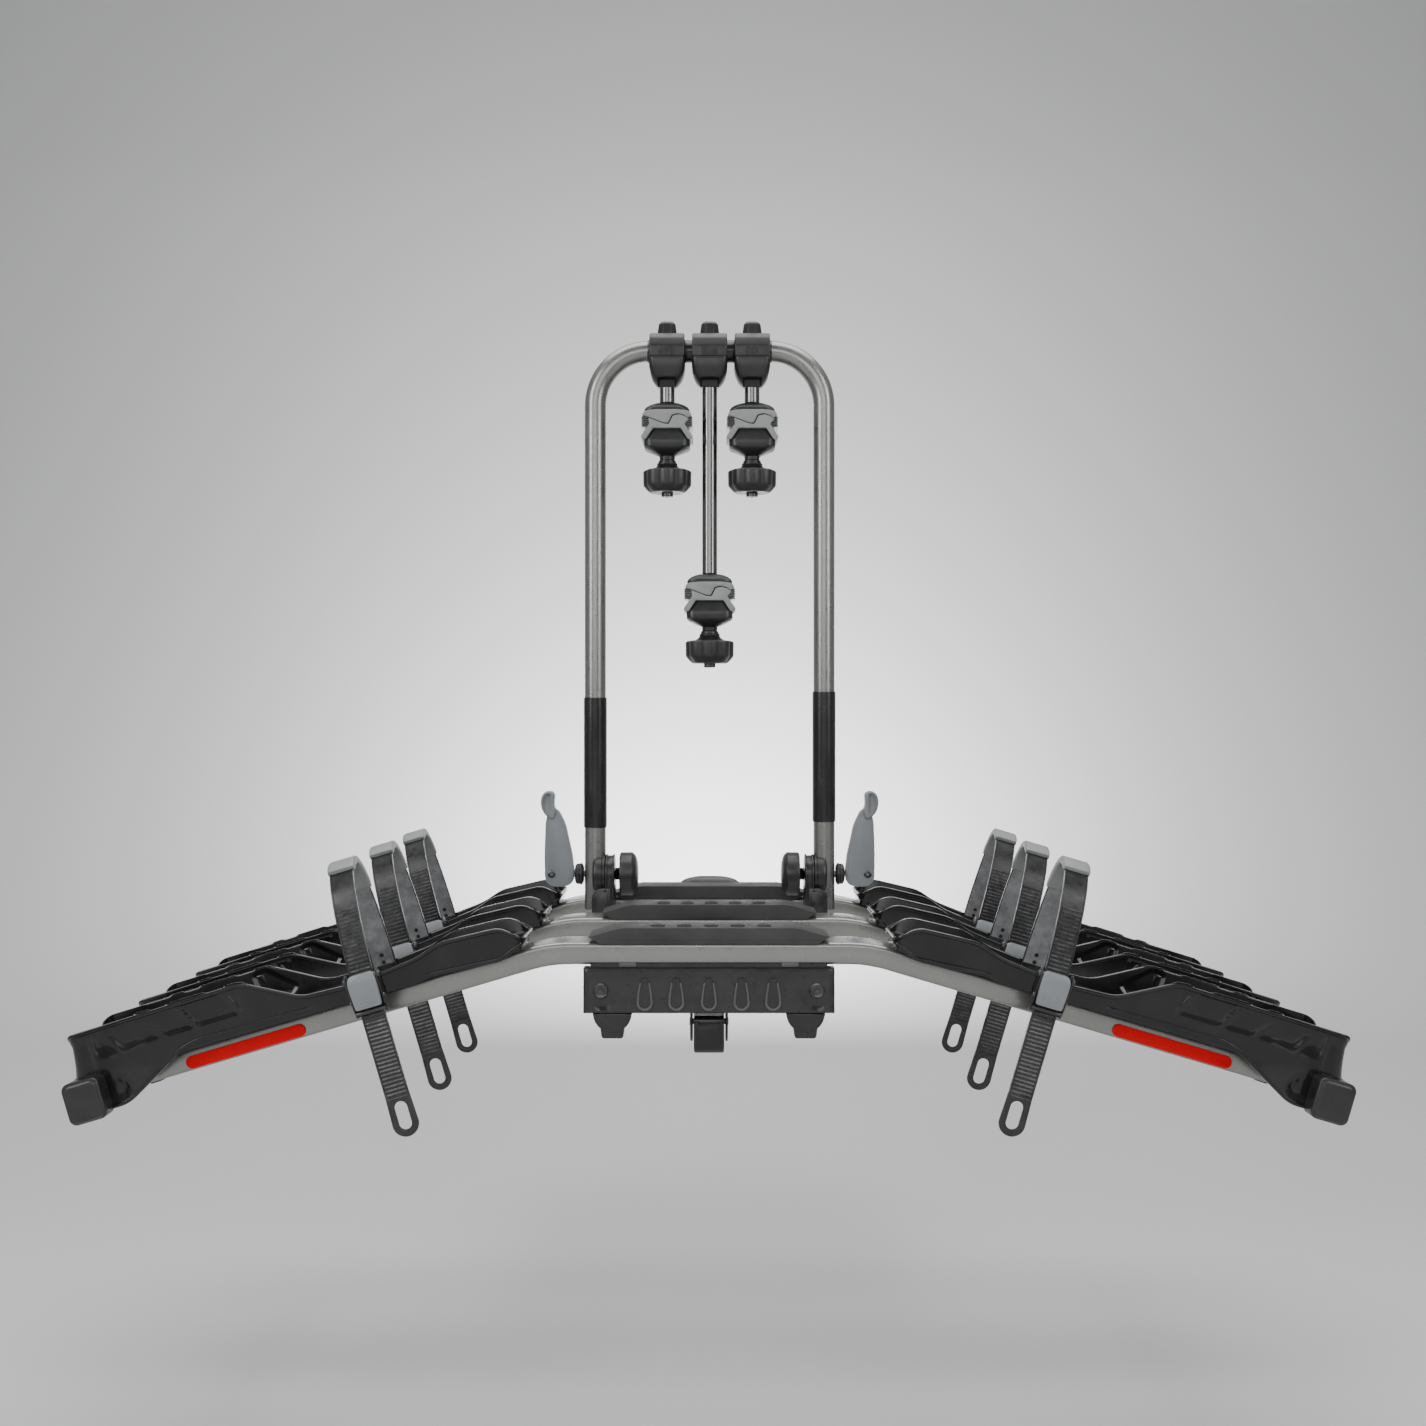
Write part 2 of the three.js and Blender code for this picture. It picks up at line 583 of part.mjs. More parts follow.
for (const [name, side] of Object.entries(SIDES)) {
  add(rack, `foot_${name}`, plateFoot(), mattBlack).position.x = side * foot.x;
  add(rack, `mast_bracket_${name}`, forSide(mastBracket(), side), blackPaint);
  add(rack, `mast_knob_${name}`, forSide(mastKnob(), side), mattBlack);
  add(rack, `quick_release_shaft_${name}`, forSide(quickReleaseShaft(), side), zincSteel);
  add(rack, `quick_release_lever_${name}`, forSide(quickReleaseLever(), side), greyPlastic);

  const frame = armGroup(side, 0);
  add(frame, `cross_tube_${name}`, forSide(sideCrossTube(), side), blackPaint);
  add(frame, `end_cap_${name}_rear`, forSide(tubeCap(-1), side), mattBlack);
  add(frame, `end_cap_${name}_front`, forSide(tubeCap(1), side), mattBlack);

  for (const [row, y] of Object.entries(rowY)) {
    const arm = armGroup(side, y);
    add(arm, `tray_${row}_${name}`, forSide(wheelTray(), side), glossBlack);
    add(arm, `strap_${row}_${name}`, forSide(wheelStrap(), side), mattBlack);
    add(arm, `buckle_${row}_${name}`, forSide(strapBuckle(), side), greyPlastic);
  }
}

const arms = [
  ['left', -armPitch, rod.shortEnd],
  ['middle', 0, rod.longEnd],
  ['right', armPitch, rod.shortEnd],
];
for (const [name, x, end] of arms) {
  const arm = new THREE.Group();
  arm.position.set(x, mast.y, 0);
  rack.add(arm);
  add(arm, `arm_head_${name}`, mastArmHead(), mattBlack);
  add(arm, `arm_rod_${name}`, armRod(end), zincSteel);
  add(arm, `frame_clamp_${name}`, frameClamp(end), mattBlack);
  add(arm, `clamp_knob_${name}`, clampKnob(end), mattBlack);
}

export default rack;
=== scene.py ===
"""The visual model of a hitch mounted rack for three bicycles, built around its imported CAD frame.

Lengths are in millimetres in the frame's own axes (+X right, +Y to the vehicle, +Z up) until they
become mesh coordinates, which are in metres.
"""

import json
import math

import bmesh
import bpy
from mathutils import Matrix, Vector


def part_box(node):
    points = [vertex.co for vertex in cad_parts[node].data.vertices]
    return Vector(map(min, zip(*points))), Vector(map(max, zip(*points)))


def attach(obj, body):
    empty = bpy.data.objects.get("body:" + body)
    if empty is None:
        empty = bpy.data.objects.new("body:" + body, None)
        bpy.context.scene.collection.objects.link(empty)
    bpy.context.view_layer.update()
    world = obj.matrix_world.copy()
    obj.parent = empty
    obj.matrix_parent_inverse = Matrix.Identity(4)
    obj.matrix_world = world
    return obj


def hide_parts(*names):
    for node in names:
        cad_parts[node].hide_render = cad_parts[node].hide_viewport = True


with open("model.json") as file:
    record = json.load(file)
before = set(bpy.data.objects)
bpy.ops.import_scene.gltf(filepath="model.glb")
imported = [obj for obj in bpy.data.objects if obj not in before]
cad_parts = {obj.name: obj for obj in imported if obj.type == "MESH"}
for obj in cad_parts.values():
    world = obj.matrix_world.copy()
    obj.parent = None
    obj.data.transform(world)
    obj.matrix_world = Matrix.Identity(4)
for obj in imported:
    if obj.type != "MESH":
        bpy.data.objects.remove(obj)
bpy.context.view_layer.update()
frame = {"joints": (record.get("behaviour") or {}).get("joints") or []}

MM = 0.001
ROWS = ("rear", "middle", "front")
SIDES = {"left": -1, "right": 1}
ARMS = ("left", "middle", "right")


# ---- sizes taken from the frame --------------------------------------------------------
def node_box(node):
    """A CAD node's lowest and highest corner, in millimetres."""
    low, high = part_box(node)
    return Vector(low) / MM, Vector(high) / MM


def node_middle(node):
    low, high = node_box(node)
    return (low + high) / 2


JOINTS = {joint["name"]: joint for joint in frame["joints"]}


def joint_place(name):
    return Vector(JOINTS[name]["pos_m"]) / MM


ROW_Y = {row: node_middle(f"rail_{row}").y for row in ROWS}
DROOP = math.asin(abs(JOINTS["buckle_open_rear_right"]["axis"][2]))
RAIL_TOP = node_box("rail_rear")[1].z
RAIL_DEPTH = 50
RAIL_HEIGHT = 22
RAIL_Z = RAIL_TOP - RAIL_HEIGHT / 2
BEND_X = 158
BEND_RADIUS = 150
MAST_PIVOT = joint_place("mast_fold")


# ---- mesh building ---------------------------------------------------------------------
def new_object(name, vertices, faces):
    """A mesh object from points in millimetres."""
    mesh = bpy.data.meshes.new(name)
    mesh.from_pydata([Vector(v) * MM for v in vertices], [], faces)
    mesh.validate()
    piece = bpy.data.objects.new(name, mesh)
    bpy.context.scene.collection.objects.link(piece)
    return piece


def edit(piece, change):
    """Runs a bmesh change on a piece and writes it back."""
    bm = bmesh.new()
    bm.from_mesh(piece.data)
    change(bm)
    bm.to_mesh(piece.data)
    bm.free()
    return piece


def outward(piece):
    return edit(piece, lambda bm: bmesh.ops.recalc_face_normals(bm, faces=bm.faces))


def smooth(piece, angle=34):
    """Smooth shading, with edges sharper than the angle kept crisp."""
    piece.data.shade_smooth()
    piece.data.set_sharp_from_angle(angle=math.radians(angle))
    return piece


def soften(piece, width, segments=2, angle=30):
    """Rounds every edge that is sharper than the angle."""
    def bevel(bm):
        bmesh.ops.remove_doubles(bm, verts=bm.verts, dist=1e-6)
        sharp = [e for e in bm.edges
                 if len(e.link_faces) == 2 and e.calc_face_angle(0) > math.radians(angle)]
        bmesh.ops.bevel(bm, geom=sharp, offset=width * MM, segments=segments, profile=0.5,
                        affect="EDGES", clamp_overlap=True)
    return edit(piece, bevel)


def loft(name, sections, closed=True, capped=True):
    """A skin through sections of equal count; a closed section joins its last point to its first."""
    count = len(sections[0])
    vertices = [point for section in sections for point in section]
    faces = []
    for ring in range(len(sections) - 1):
        base = ring * count
        for i in range(count if closed else count - 1):
            j = (i + 1) % count
            faces.append((base + i, base + j, base + count + j, base + count + i))
    if capped:
        faces.append(tuple(range(count)))
        faces.append(tuple(len(vertices) - count + i for i in range(count)))
    return outward(new_object(name, vertices, faces))


def sweep(name, path, profile, side, capped=True):
    """A profile of (across, up) pairs carried along a flat path; side is the path's constant normal."""
    sections = []
    for i, place in enumerate(path):
        before = path[max(i - 1, 0)]
        after = path[min(i + 1, len(path) - 1)]
        tangent = (after - before).normalized()
        up = side.cross(tangent).normalized()
        if 0 < i < len(path) - 1:
            turn = (place - before).angle(after - place, 0)
            stretch = 1 / max(math.cos(turn / 2), 0.2)
        else:
            stretch = 1
        sections.append([place + side * a + up * b * stretch for a, b in profile])
    return loft(name, sections, capped=capped)


def turned(name, profile, axis, centre, steps=48):
    """A solid of revolution: (radius, height) pairs about an axis through centre."""
    axis = Vector(axis).normalized()
    across = axis.orthogonal().normalized()
    other = axis.cross(across)
    sections = []
    for step in range(steps):
        angle = 2 * math.pi * step / steps
        spoke = across * math.cos(angle) + other * math.sin(angle)
        sections.append([Vector(centre) + spoke * r + axis * h for r, h in profile])
    sections.append(sections[0])
    piece = loft(name, sections, closed=False, capped=False)
    edit(piece, lambda bm: bmesh.ops.remove_doubles(bm, verts=bm.verts, dist=1e-6))
    return outward(piece)


PLANES = {
    "xz": (Vector((1, 0, 0)), Vector((0, 0, 1)), Vector((0, 1, 0))),
    "yz": (Vector((0, 1, 0)), Vector((0, 0, 1)), Vector((1, 0, 0))),
    "xy": (Vector((1, 0, 0)), Vector((0, 1, 0)), Vector((0, 0, 1))),
}


def slab(name, outline, plane, low, high):
    """An outline in a plane, given thickness along the plane's normal from low to high."""
    first, second, normal = PLANES[plane]
    sections = [[first * a + second * b + normal * level for a, b in outline]
                for level in (low, high)]
    return loft(name, sections)


def shifted(outline, across, up):
    """The outline moved within its plane."""
    return [(a + across, b + up) for a, b in outline]


def arc(centre, radius, start, end, steps=8):
    """Points along an arc, with the angles in degrees."""
    angles = [math.radians(start + (end - start) * i / steps) for i in range(steps + 1)]
    return [(centre[0] + radius * math.cos(a), centre[1] + radius * math.sin(a)) for a in angles]


def rounded_rectangle(width, height, radius, steps=5):
    x = width / 2 - radius
    y = height / 2 - radius
    corners = (((x, -y), -90), ((x, y), 0), ((-x, y), 90), ((-x, -y), 180))
    return [point for centre, start in corners for point in arc(centre, radius, start, start + 90, steps)]


def stack(name, rings, plane, steps=5):
    """A skin through rounded rectangles, each given as (level, width, height, corner radius)."""
    first, second, normal = PLANES[plane]
    sections = [[first * a + second * b + normal * level
                 for a, b in rounded_rectangle(width, height, radius, steps)]
                for level, width, height, radius in rings]
    return loft(name, sections)


def circle(radius, steps=32):
    return [(radius * math.cos(2 * math.pi * i / steps), radius * math.sin(2 * math.pi * i / steps))
            for i in range(steps)]


def rounded_outline(points, radius, steps=4):
    """The outline with each corner replaced by a curve that starts a radius away from it."""
    result = []
    count = len(points)
    for i, corner in enumerate(points):
        here = Vector(corner)
        before = Vector(points[i - 1])
        after = Vector(points[(i + 1) % count])
        back = min(radius, (before - here).length * 0.45)
        ahead = min(radius, (after - here).length * 0.45)
        start = here + (before - here).normalized() * back
        end = here + (after - here).normalized() * ahead
        for step in range(steps + 1):
            t = step / steps
            result.append(tuple(start * (1 - t) ** 2 + here * 2 * t * (1 - t) + end * t ** 2))
    return result


def merged(name, pieces):
    """Several meshes as one piece."""
    bm = bmesh.new()
    for piece in pieces:
        bm.from_mesh(piece.data)
        mesh = piece.data
        bpy.data.objects.remove(piece)
        bpy.data.meshes.remove(mesh)
    whole = new_object(name, [], [])
    bm.to_mesh(whole.data)
    bm.free()
    return whole


def carved(piece, *tools):
    """The piece with the tools' shapes cut out of it."""
    for tool in tools:
        modifier = piece.modifiers.new("cut", "BOOLEAN")
        modifier.operation = "DIFFERENCE"
        modifier.solver = "EXACT"
        modifier.object = tool
    return applied(piece, tools)


def joined(piece, *tools):
    """The piece and the tools' shapes made into one skin."""
    for tool in tools:
        modifier = piece.modifiers.new("join", "BOOLEAN")
        modifier.operation = "UNION"
        modifier.solver = "EXACT"
        modifier.object = tool
    return applied(piece, tools)


def applied(piece, tools=()):
    """The piece with its modifiers made real, and the tools thrown away."""
    bpy.context.view_layer.update()
    seen = piece.evaluated_get(bpy.context.evaluated_depsgraph_get())
    mesh = bpy.data.meshes.new_from_object(seen)
    piece.modifiers.clear()
    old = piece.data
    piece.data = mesh
    bpy.data.meshes.remove(old)
    for tool in tools:
        bpy.data.objects.remove(tool)
    return piece


def moved(piece, matrix):
    """Moves a piece's points, by a matrix whose shift is in millimetres."""
    shift = matrix.copy()
    shift.translation = shift.translation * MM
    piece.data.transform(shift)
    if matrix.determinant() < 0:
        piece.data.flip_normals()
    return piece


def placed(piece, x=0, y=0, z=0):
    return moved(piece, Matrix.Translation((x, y, z)))


def fit(piece, body, look, replaces=()):
    """Gives a finished piece its material and body, and hides the CAD parts it replaces."""
    piece.data.materials.clear()
    piece.data.materials.append(look)
    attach(piece, body)
    if replaces:
        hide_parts(*replaces)
    return piece


def fit_copies(pattern, places, label, body, look, node=None, angle=34):
    """Puts a fitted copy of a pattern at each place, which is a matrix and the words for its names."""
    smooth(pattern, angle)
    for words, matrix in places:
        piece = bpy.data.objects.new(label.format(**words), pattern.data.copy())
        bpy.context.scene.collection.objects.link(piece)
        moved(piece, matrix)
        fit(piece, body.format(**words), look, [node.format(**words)] if node else ())
    bpy.data.objects.remove(pattern)


# ---- materials -------------------------------------------------------------------------
class Look:
    """A principled material built up from procedural layers."""

    def __init__(self, name, base, roughness, **sockets):
        self.material = bpy.data.materials.new(name)
        self.material.use_nodes = True
        self.tree = self.material.node_tree
        self.shader = self.tree.nodes["Principled BSDF"]
        self.base = tuple(base) + (1,)
        self.shader.inputs["Base Color"].default_value = self.base
        self.shader.inputs["Roughness"].default_value = roughness
        self.roughness = roughness
        for socket, value in sockets.items():
            self.shader.inputs[socket.replace("_", " ")].default_value = value
        self.place = self.node("ShaderNodeTexCoord").outputs["Object"]
        self.height = None

    def node(self, kind, **settings):
        node = self.tree.nodes.new(kind)
        for key, value in settings.items():
            setattr(node, key, value)
        return node

    def link(self, source, target):
        self.tree.links.new(source, target)

    def noise(self, size_mm, detail=3, stretch=(1, 1, 1), rough=0.55):
        """Noise whose features are about size_mm across, longer where stretch is above 1."""
        mapping = self.node("ShaderNodeMapping")
        mapping.inputs["Scale"].default_value = [1 / s for s in stretch]
        self.link(self.place, mapping.inputs["Vector"])
        texture = self.node("ShaderNodeTexNoise")
        texture.inputs["Scale"].default_value = 1 / (size_mm * MM)
        texture.inputs["Detail"].default_value = detail
        texture.inputs["Roughness"].default_value = rough
        self.link(mapping.outputs["Vector"], texture.inputs["Vector"])
        return texture.outputs["Fac"]

    def spread(self, source, low, high, start=0.3, end=0.7):
        """The source's middle stretch mapped to the range from low to high."""
        node = self.node("ShaderNodeMapRange")
        node.inputs["From Min"].default_value = start
        node.inputs["From Max"].default_value = end
        node.inputs["To Min"].default_value = low
        node.inputs["To Max"].default_value = high
        self.link(source, node.inputs["Value"])
        return node.outputs["Result"]

    def vary_roughness(self, size_mm, amount, **options):
        source = self.noise(size_mm, **options)
        level = self.spread(source, self.roughness - amount, self.roughness + amount)
        self.link(level, self.shader.inputs["Roughness"])
        return self

    def vary_colour(self, size_mm, other, share=0.5, **options):
        """Drifts towards another colour by up to the share."""
        weight = self.spread(self.noise(size_mm, **options), 0, share)
        return self.tint(weight, other)

    def tint(self, weight, other):
        mix = self.node("ShaderNodeMix", data_type="RGBA")
        self.link(weight, mix.inputs["Factor"])
        target = self.shader.inputs["Base Color"]
        if target.is_linked:
            self.link(target.links[0].from_socket, mix.inputs["A"])
        else:
            mix.inputs["A"].default_value = self.base
        mix.inputs["B"].default_value = tuple(other) + (1,)
        self.link(mix.outputs["Result"], target)
        return self

    def worn_edges(self, other, share=0.5, start=0.54, end=0.62):
        """Lightens the convex edges, broken up by noise."""
        edge = self.spread(self.node("ShaderNodeNewGeometry").outputs["Pointiness"], 0, 1, start, end)
        patch = self.spread(self.noise(9, detail=5), 0, share, 0.42, 0.62)
        product = self.node("ShaderNodeMath", operation="MULTIPLY")
        self.link(edge, product.inputs[0])
        self.link(patch, product.inputs[1])
        return self.tint(product.outputs["Value"], other)

    def grain(self, size_mm, depth_mm, strength=0.4, **options):
        """Adds a bump layer."""
        bump = self.node("ShaderNodeBump")
        bump.inputs["Strength"].default_value = strength
        bump.inputs["Distance"].default_value = depth_mm * MM
        self.link(self.noise(size_mm, **options), bump.inputs["Height"])
        if self.height is not None:
            self.link(self.height, bump.inputs["Normal"])
        self.height = bump.outputs["Normal"]
        self.link(self.height, self.shader.inputs["Normal"])
        return self


def silver_paint():
    look = Look("silver_powder_coat", (0.25, 0.252, 0.237), 0.3, Metallic=0.75, Coat_Weight=0.2,
                Coat_Roughness=0.2)
    look.vary_colour(60, (0.22, 0.22, 0.207), 0.5)
    look.vary_roughness(14, 0.05)
    return look.grain(0.9, 0.03, 0.12, detail=2).grain(6, 0.03, 0.06).material


def black_paint():
    look = Look("black_powder_coat", (0.012, 0.012, 0.0122), 0.32, Specular_IOR_Level=0.5)
    look.vary_colour(40, (0.026, 0.026, 0.027), 0.6)
    look.vary_roughness(10, 0.07)
    look.worn_edges((0.09, 0.09, 0.09), 0.35)
    return look.grain(0.8, 0.04, 0.16, detail=2).material


def tray_plastic():
    look = Look("gloss_black_tray", (0.005, 0.005, 0.0053), 0.17, Specular_IOR_Level=0.42)
    look.vary_roughness(22, 0.07, detail=5)
    look.vary_colour(35, (0.018, 0.018, 0.019), 0.5)
    look.worn_edges((0.06, 0.06, 0.062), 0.4)
    return look.grain(30, 0.5, 0.14, detail=1).grain(1.2, 0.04, 0.12).material


def black_plastic():
    look = Look("grained_black_plastic", (0.01, 0.01, 0.0103), 0.38)
    look.vary_roughness(12, 0.06)
    look.vary_colour(25, (0.024, 0.024, 0.025), 0.6)
    look.worn_edges((0.085, 0.085, 0.088), 0.4)
    return look.grain(0.7, 0.06, 0.2, detail=4).material


def cover_plastic():
    look = Look("matt_cover_plastic", (0.016, 0.015, 0.015), 0.58)
    look.vary_roughness(18, 0.08)
    look.vary_colour(30, (0.04, 0.038, 0.037), 0.7, stretch=(2.5, 1, 1))
    look.worn_edges((0.11, 0.11, 0.11), 0.35)
    return look.grain(0.8, 0.12, 0.5, detail=5).material


def grey_plastic():
    look = Look("grey_moulded_plastic", (0.2, 0.212, 0.222), 0.38)
    look.vary_roughness(12, 0.07)
    look.vary_colour(24, (0.16, 0.17, 0.178), 0.6)
    look.worn_edges((0.3, 0.32, 0.33), 0.45)
    return look.grain(0.6, 0.07, 0.3, detail=4).material


def dark_grey_plastic():
    look = Look("dark_grey_plastic", (0.085, 0.085, 0.085), 0.4)
    look.vary_roughness(12, 0.07)
    look.vary_colour(20, (0.06, 0.06, 0.061), 0.6)
    look.worn_edges((0.2, 0.2, 0.2), 0.4)
    return look.grain(0.6, 0.07, 0.3, detail=4).material


def jaw_plastic():
    look = Look("pale_jaw_plastic", (0.24, 0.25, 0.25), 0.42)
    look.vary_roughness(10, 0.07)
    look.vary_colour(16, (0.18, 0.19, 0.19), 0.6)
    look.worn_edges((0.5, 0.51, 0.52), 0.4)
    return look.grain(0.6, 0.07, 0.3, detail=4).material


def strap_plastic():
    look = Look("ribbed_strap_plastic", (0.01, 0.01, 0.0103), 0.3)
    look.vary_roughness(7, 0.08)
    look.vary_colour(16, (0.03, 0.03, 0.031), 0.6)
    look.worn_edges((0.1, 0.1, 0.1), 0.5)
    return look.grain(0.5, 0.03, 0.12).material


# Pale grey for the inner faces of the loops: a painted reflection of the light on the strap, not a real
# liner.
def strap_reflection_sheet():
    look = Look("painted_strap_reflection", (0.2, 0.205, 0.21), 0.3)
    look.vary_roughness(7, 0.06)
    look.vary_colour(40, (0.1, 0.1, 0.105), 0.9)
    look.worn_edges((0.4, 0.4, 0.4), 0.3)
    return look.grain(0.5, 0.03, 0.12).material


def pad_rubber():
    look = Look("grey_pad_rubber", (0.27, 0.275, 0.275), 0.5)
    look.vary_roughness(9, 0.06)
    look.vary_colour(14, (0.2, 0.205, 0.205), 0.6)
    return look.grain(0.7, 0.1, 0.4, detail=4).material


def dark_steel():
    look = Look("black_zinc_steel", (0.07, 0.07, 0.073), 0.3, Metallic=0.85)
    look.vary_roughness(5, 0.08)
    look.worn_edges((0.4, 0.4, 0.4), 0.5)
    return look.grain(0.5, 0.03, 0.2).material


def rod_steel():
    look = Look("dark_coated_rod", (0.16, 0.155, 0.152), 0.2, Metallic=0.95, Coat_Weight=0.3,
                Coat_Roughness=0.1)
    look.vary_roughness(8, 0.05, stretch=(1, 1, 12))
    return look.grain(0.8, 0.02, 0.15, stretch=(1, 1, 8)).material


def sleeve_rubber():
    look = Look("black_sleeve", (0.009, 0.009, 0.0092), 0.24)
    look.vary_roughness(10, 0.06, stretch=(1, 1, 4))
    look.vary_colour(30, (0.02, 0.02, 0.021), 0.6)
    return look.grain(0.7, 0.03, 0.12).material


def red_reflector():
    """Red lens over rows of small prisms, with a faint painted glow that keeps its red bright."""
    look = Look("red_reflector", (0.5, 0.0, 0.004), 0.5, Specular_IOR_Level=0.1)
    # A faint emission: the lens glows as a painted stand-in for light thrown back by the prisms.
    look.shader.inputs["Emission Color"].default_value = (0.7, 0.0, 0.004, 1)
    look.shader.inputs["Emission Strength"].default_value = 0.12
    cells = look.node("ShaderNodeTexVoronoi", feature="F1", distance="MANHATTAN")
    cells.inputs["Scale"].default_value = 1 / (2.2 * MM)
    cells.inputs["Randomness"].default_value = 0.0
    look.link(look.place, cells.inputs["Vector"])
    bump = look.node("ShaderNodeBump")
    bump.inputs["Strength"].default_value = 0.3
    bump.inputs["Distance"].default_value = 0.3 * MM
    look.link(cells.outputs["Distance"], bump.inputs["Height"])
    look.link(bump.outputs["Normal"], look.shader.inputs["Normal"])
    return look.vary_colour(6, (0.4, 0.0, 0.003), 0.4).material


SILVER = silver_paint()
BLACK_PAINT = black_paint()
TRAY = tray_plastic()
BLACK = black_plastic()
COVER = cover_plastic()
GREY = grey_plastic()
DARK_GREY = dark_grey_plastic()
JAW = jaw_plastic()
STRAP = strap_plastic()
# The next colour is pale grey painted where light reflects off the loops' inner faces.
STRAP_REFLECTION = strap_reflection_sheet()
PAD = pad_rubber()
DARK_STEEL = dark_steel()
ROD = rod_steel()
SLEEVE = sleeve_rubber()
RED = red_reflector()


# ---- camera, stage and lights ----------------------------------------------------------
CAMERA_PLACE = Vector((4, -2315, 272))
LENS = 39.97
SENSOR = 36


def place_camera():
    data = bpy.data.cameras.new("camera")
    data.lens = LENS
    data.sensor_width = SENSOR
    data.shift_y = 0.0014
    data.clip_end = 50
    camera = bpy.data.objects.new("camera", data)
    camera.location = CAMERA_PLACE * MM
    camera.rotation_euler = (math.pi / 2, 0, 0)
    bpy.context.scene.collection.objects.link(camera)
    bpy.context.scene.camera = camera


def stage_look():
    look = Look("pale_stage", (0.62, 0.62, 0.62), 0.9, Specular_IOR_Level=0.1)
    return look.vary_colour(900, (0.6, 0.6, 0.6), 0.3).material


def build_stage():
    """A pale floor that curves up into a backdrop."""
    floor_z = -470
    back_y = 2600
    front_y = -4200
    reach = 5200
    sweep_radius = 2400
    curve = arc((back_y - sweep_radius, floor_z + sweep_radius), sweep_radius, -90, 0, 24)
    line = [(front_y, floor_z)] + curve + [(back_y, 4500)]
    sections = [[Vector((x, y, z)) for y, z in line] for x in (-reach, reach)]
    stage = loft("stage", sections, closed=False, capped=False)
    stage.data.materials.append(stage_look())
    smooth(stage, 60)


def area_light(name, place, target, size, power, shape="RECTANGLE"):
    data = bpy.data.lights.new(name, "AREA")
    data.shape = shape
    data.size = size[0] * MM
    data.size_y = size[1] * MM
    data.energy = power
    light = bpy.data.objects.new(name, data)
    light.location = Vector(place) * MM
    direction = Vector(target) - Vector(place)
    light.rotation_euler = direction.to_track_quat("-Z", "Y").to_euler()
    bpy.context.scene.collection.objects.link(light)


def build_lights():
    world = bpy.data.worlds.new("studio")
    world.use_nodes = True
    world.node_tree.nodes["Background"].inputs["Color"].default_value = (0.8, 0.82, 0.84, 1)
    world.node_tree.nodes["Background"].inputs["Strength"].default_value = 0.34
    bpy.context.scene.world = world
    middle = (0, -500, 200)
    area_light("overhead", (0, -300, 2300), middle, (2600, 1800), 60)
    area_light("front_left", (-2100, -2300, 1300), middle, (900, 1800), 40)
    area_light("front_right", (2100, -2300, 1300), middle, (900, 1800), 32)
    area_light("front_top", (-200, -3600, 1050), middle, (2200, 1100), 20)
    area_light("front_low", (0, -3000, -240), middle, (2400, 330), 2.5)
    area_light("behind_glow", (0, 900, 420), (0, 2600, 260), (900, 500), 46, "ELLIPSE")


place_camera()
build_stage()
build_lights()


# ---- rails, cross tubes, caps and covers -----------------------------------------------
TUBE_ALONG = 459
TUBE_BELOW = -4.2
TUBE_SIZE = 30


def arm_matrix(side, row):
    """From an arm's own axes (out along the arm, +Y, square up from it) to the frame's."""
    place = Matrix.Translation((side * BEND_X, ROW_Y[row] if row else 0, RAIL_Z))
    return place @ Matrix.Diagonal((side, 1, 1, 1)) @ Matrix.Rotation(DROOP, 4, "Y")


def rail_path(tip):
    """The rail's centre line from the left tip to the right one."""
    tangent = BEND_RADIUS * math.tan(DROOP / 2)
    centre = (BEND_X - tangent, RAIL_Z - BEND_RADIUS)
    half = [(centre[0] + BEND_RADIUS * math.sin(DROOP * i / 12),
             centre[1] + BEND_RADIUS * math.cos(DROOP * i / 12)) for i in range(13)]
    half.append((BEND_X + tip * math.cos(DROOP), RAIL_Z - tip * math.sin(DROOP)))
    path = [(-x, z) for x, z in reversed(half)] + half
    return [Vector((x, 0, z)) for x, z in path]


def build_rails():
    path = rail_path(TUBE_ALONG - TUBE_SIZE / 2)
    section = rounded_rectangle(RAIL_DEPTH, RAIL_HEIGHT, 4.5)
    for row in ROWS:
        rail = sweep(f"rail_{row}_tube", path, section, Vector((0, 1, 0)))
        placed(rail, y=ROW_Y[row])
        fit(smooth(rail), "platform", SILVER, [f"rail_{row}"])


def build_cross_tubes():
    for name, side in SIDES.items():
        low, high = node_box(f"cross_tube_{name}")
        section = shifted(rounded_rectangle(TUBE_SIZE, TUBE_SIZE, 4), TUBE_ALONG, TUBE_BELOW)
        tube = moved(slab(f"cross_tube_{name}_skin", section, "xz", low.y, high.y), arm_matrix(side, None))
        fit(smooth(tube), "platform", BLACK_PAINT, [f"cross_tube_{name}"])


def cap_shape(name):
    """A rounded square cap that faces -Y at y = 0: a sleeve, a proud rim and a softly crowned face."""
    levels = ((22, 34, 38, 5.5), (21.4, 36, 40, 6), (4.2, 36.6, 40.6, 6.5), (3.2, 37, 41, 7),
              (1.2, 36, 40, 7), (0.5, 34.4, 38.4, 7), (0.9, 31.8, 35.8, 6), (0.4, 30.6, 34.6, 6),
              (0, 26, 30, 6), (-0.2, 16, 20, 5))
    return stack(name, levels, "xz", 6)


def build_caps():
    for name, side in SIDES.items():
        for end in ("rear", "front"):
            node = f"end_cap_{name}_{end}"
            low, high = node_box(node)
            cap = cap_shape(f"{node}_skin")
            if end == "front":
                moved(cap, Matrix.Rotation(math.pi, 4, "Z"))
            place = Matrix.Translation((TUBE_ALONG, low.y + 0.2 if end == "rear" else high.y - 0.2,
                                        TUBE_BELOW))
            moved(cap, arm_matrix(side, None) @ place)
            fit(smooth(cap, 40), "platform", BLACK, [node])


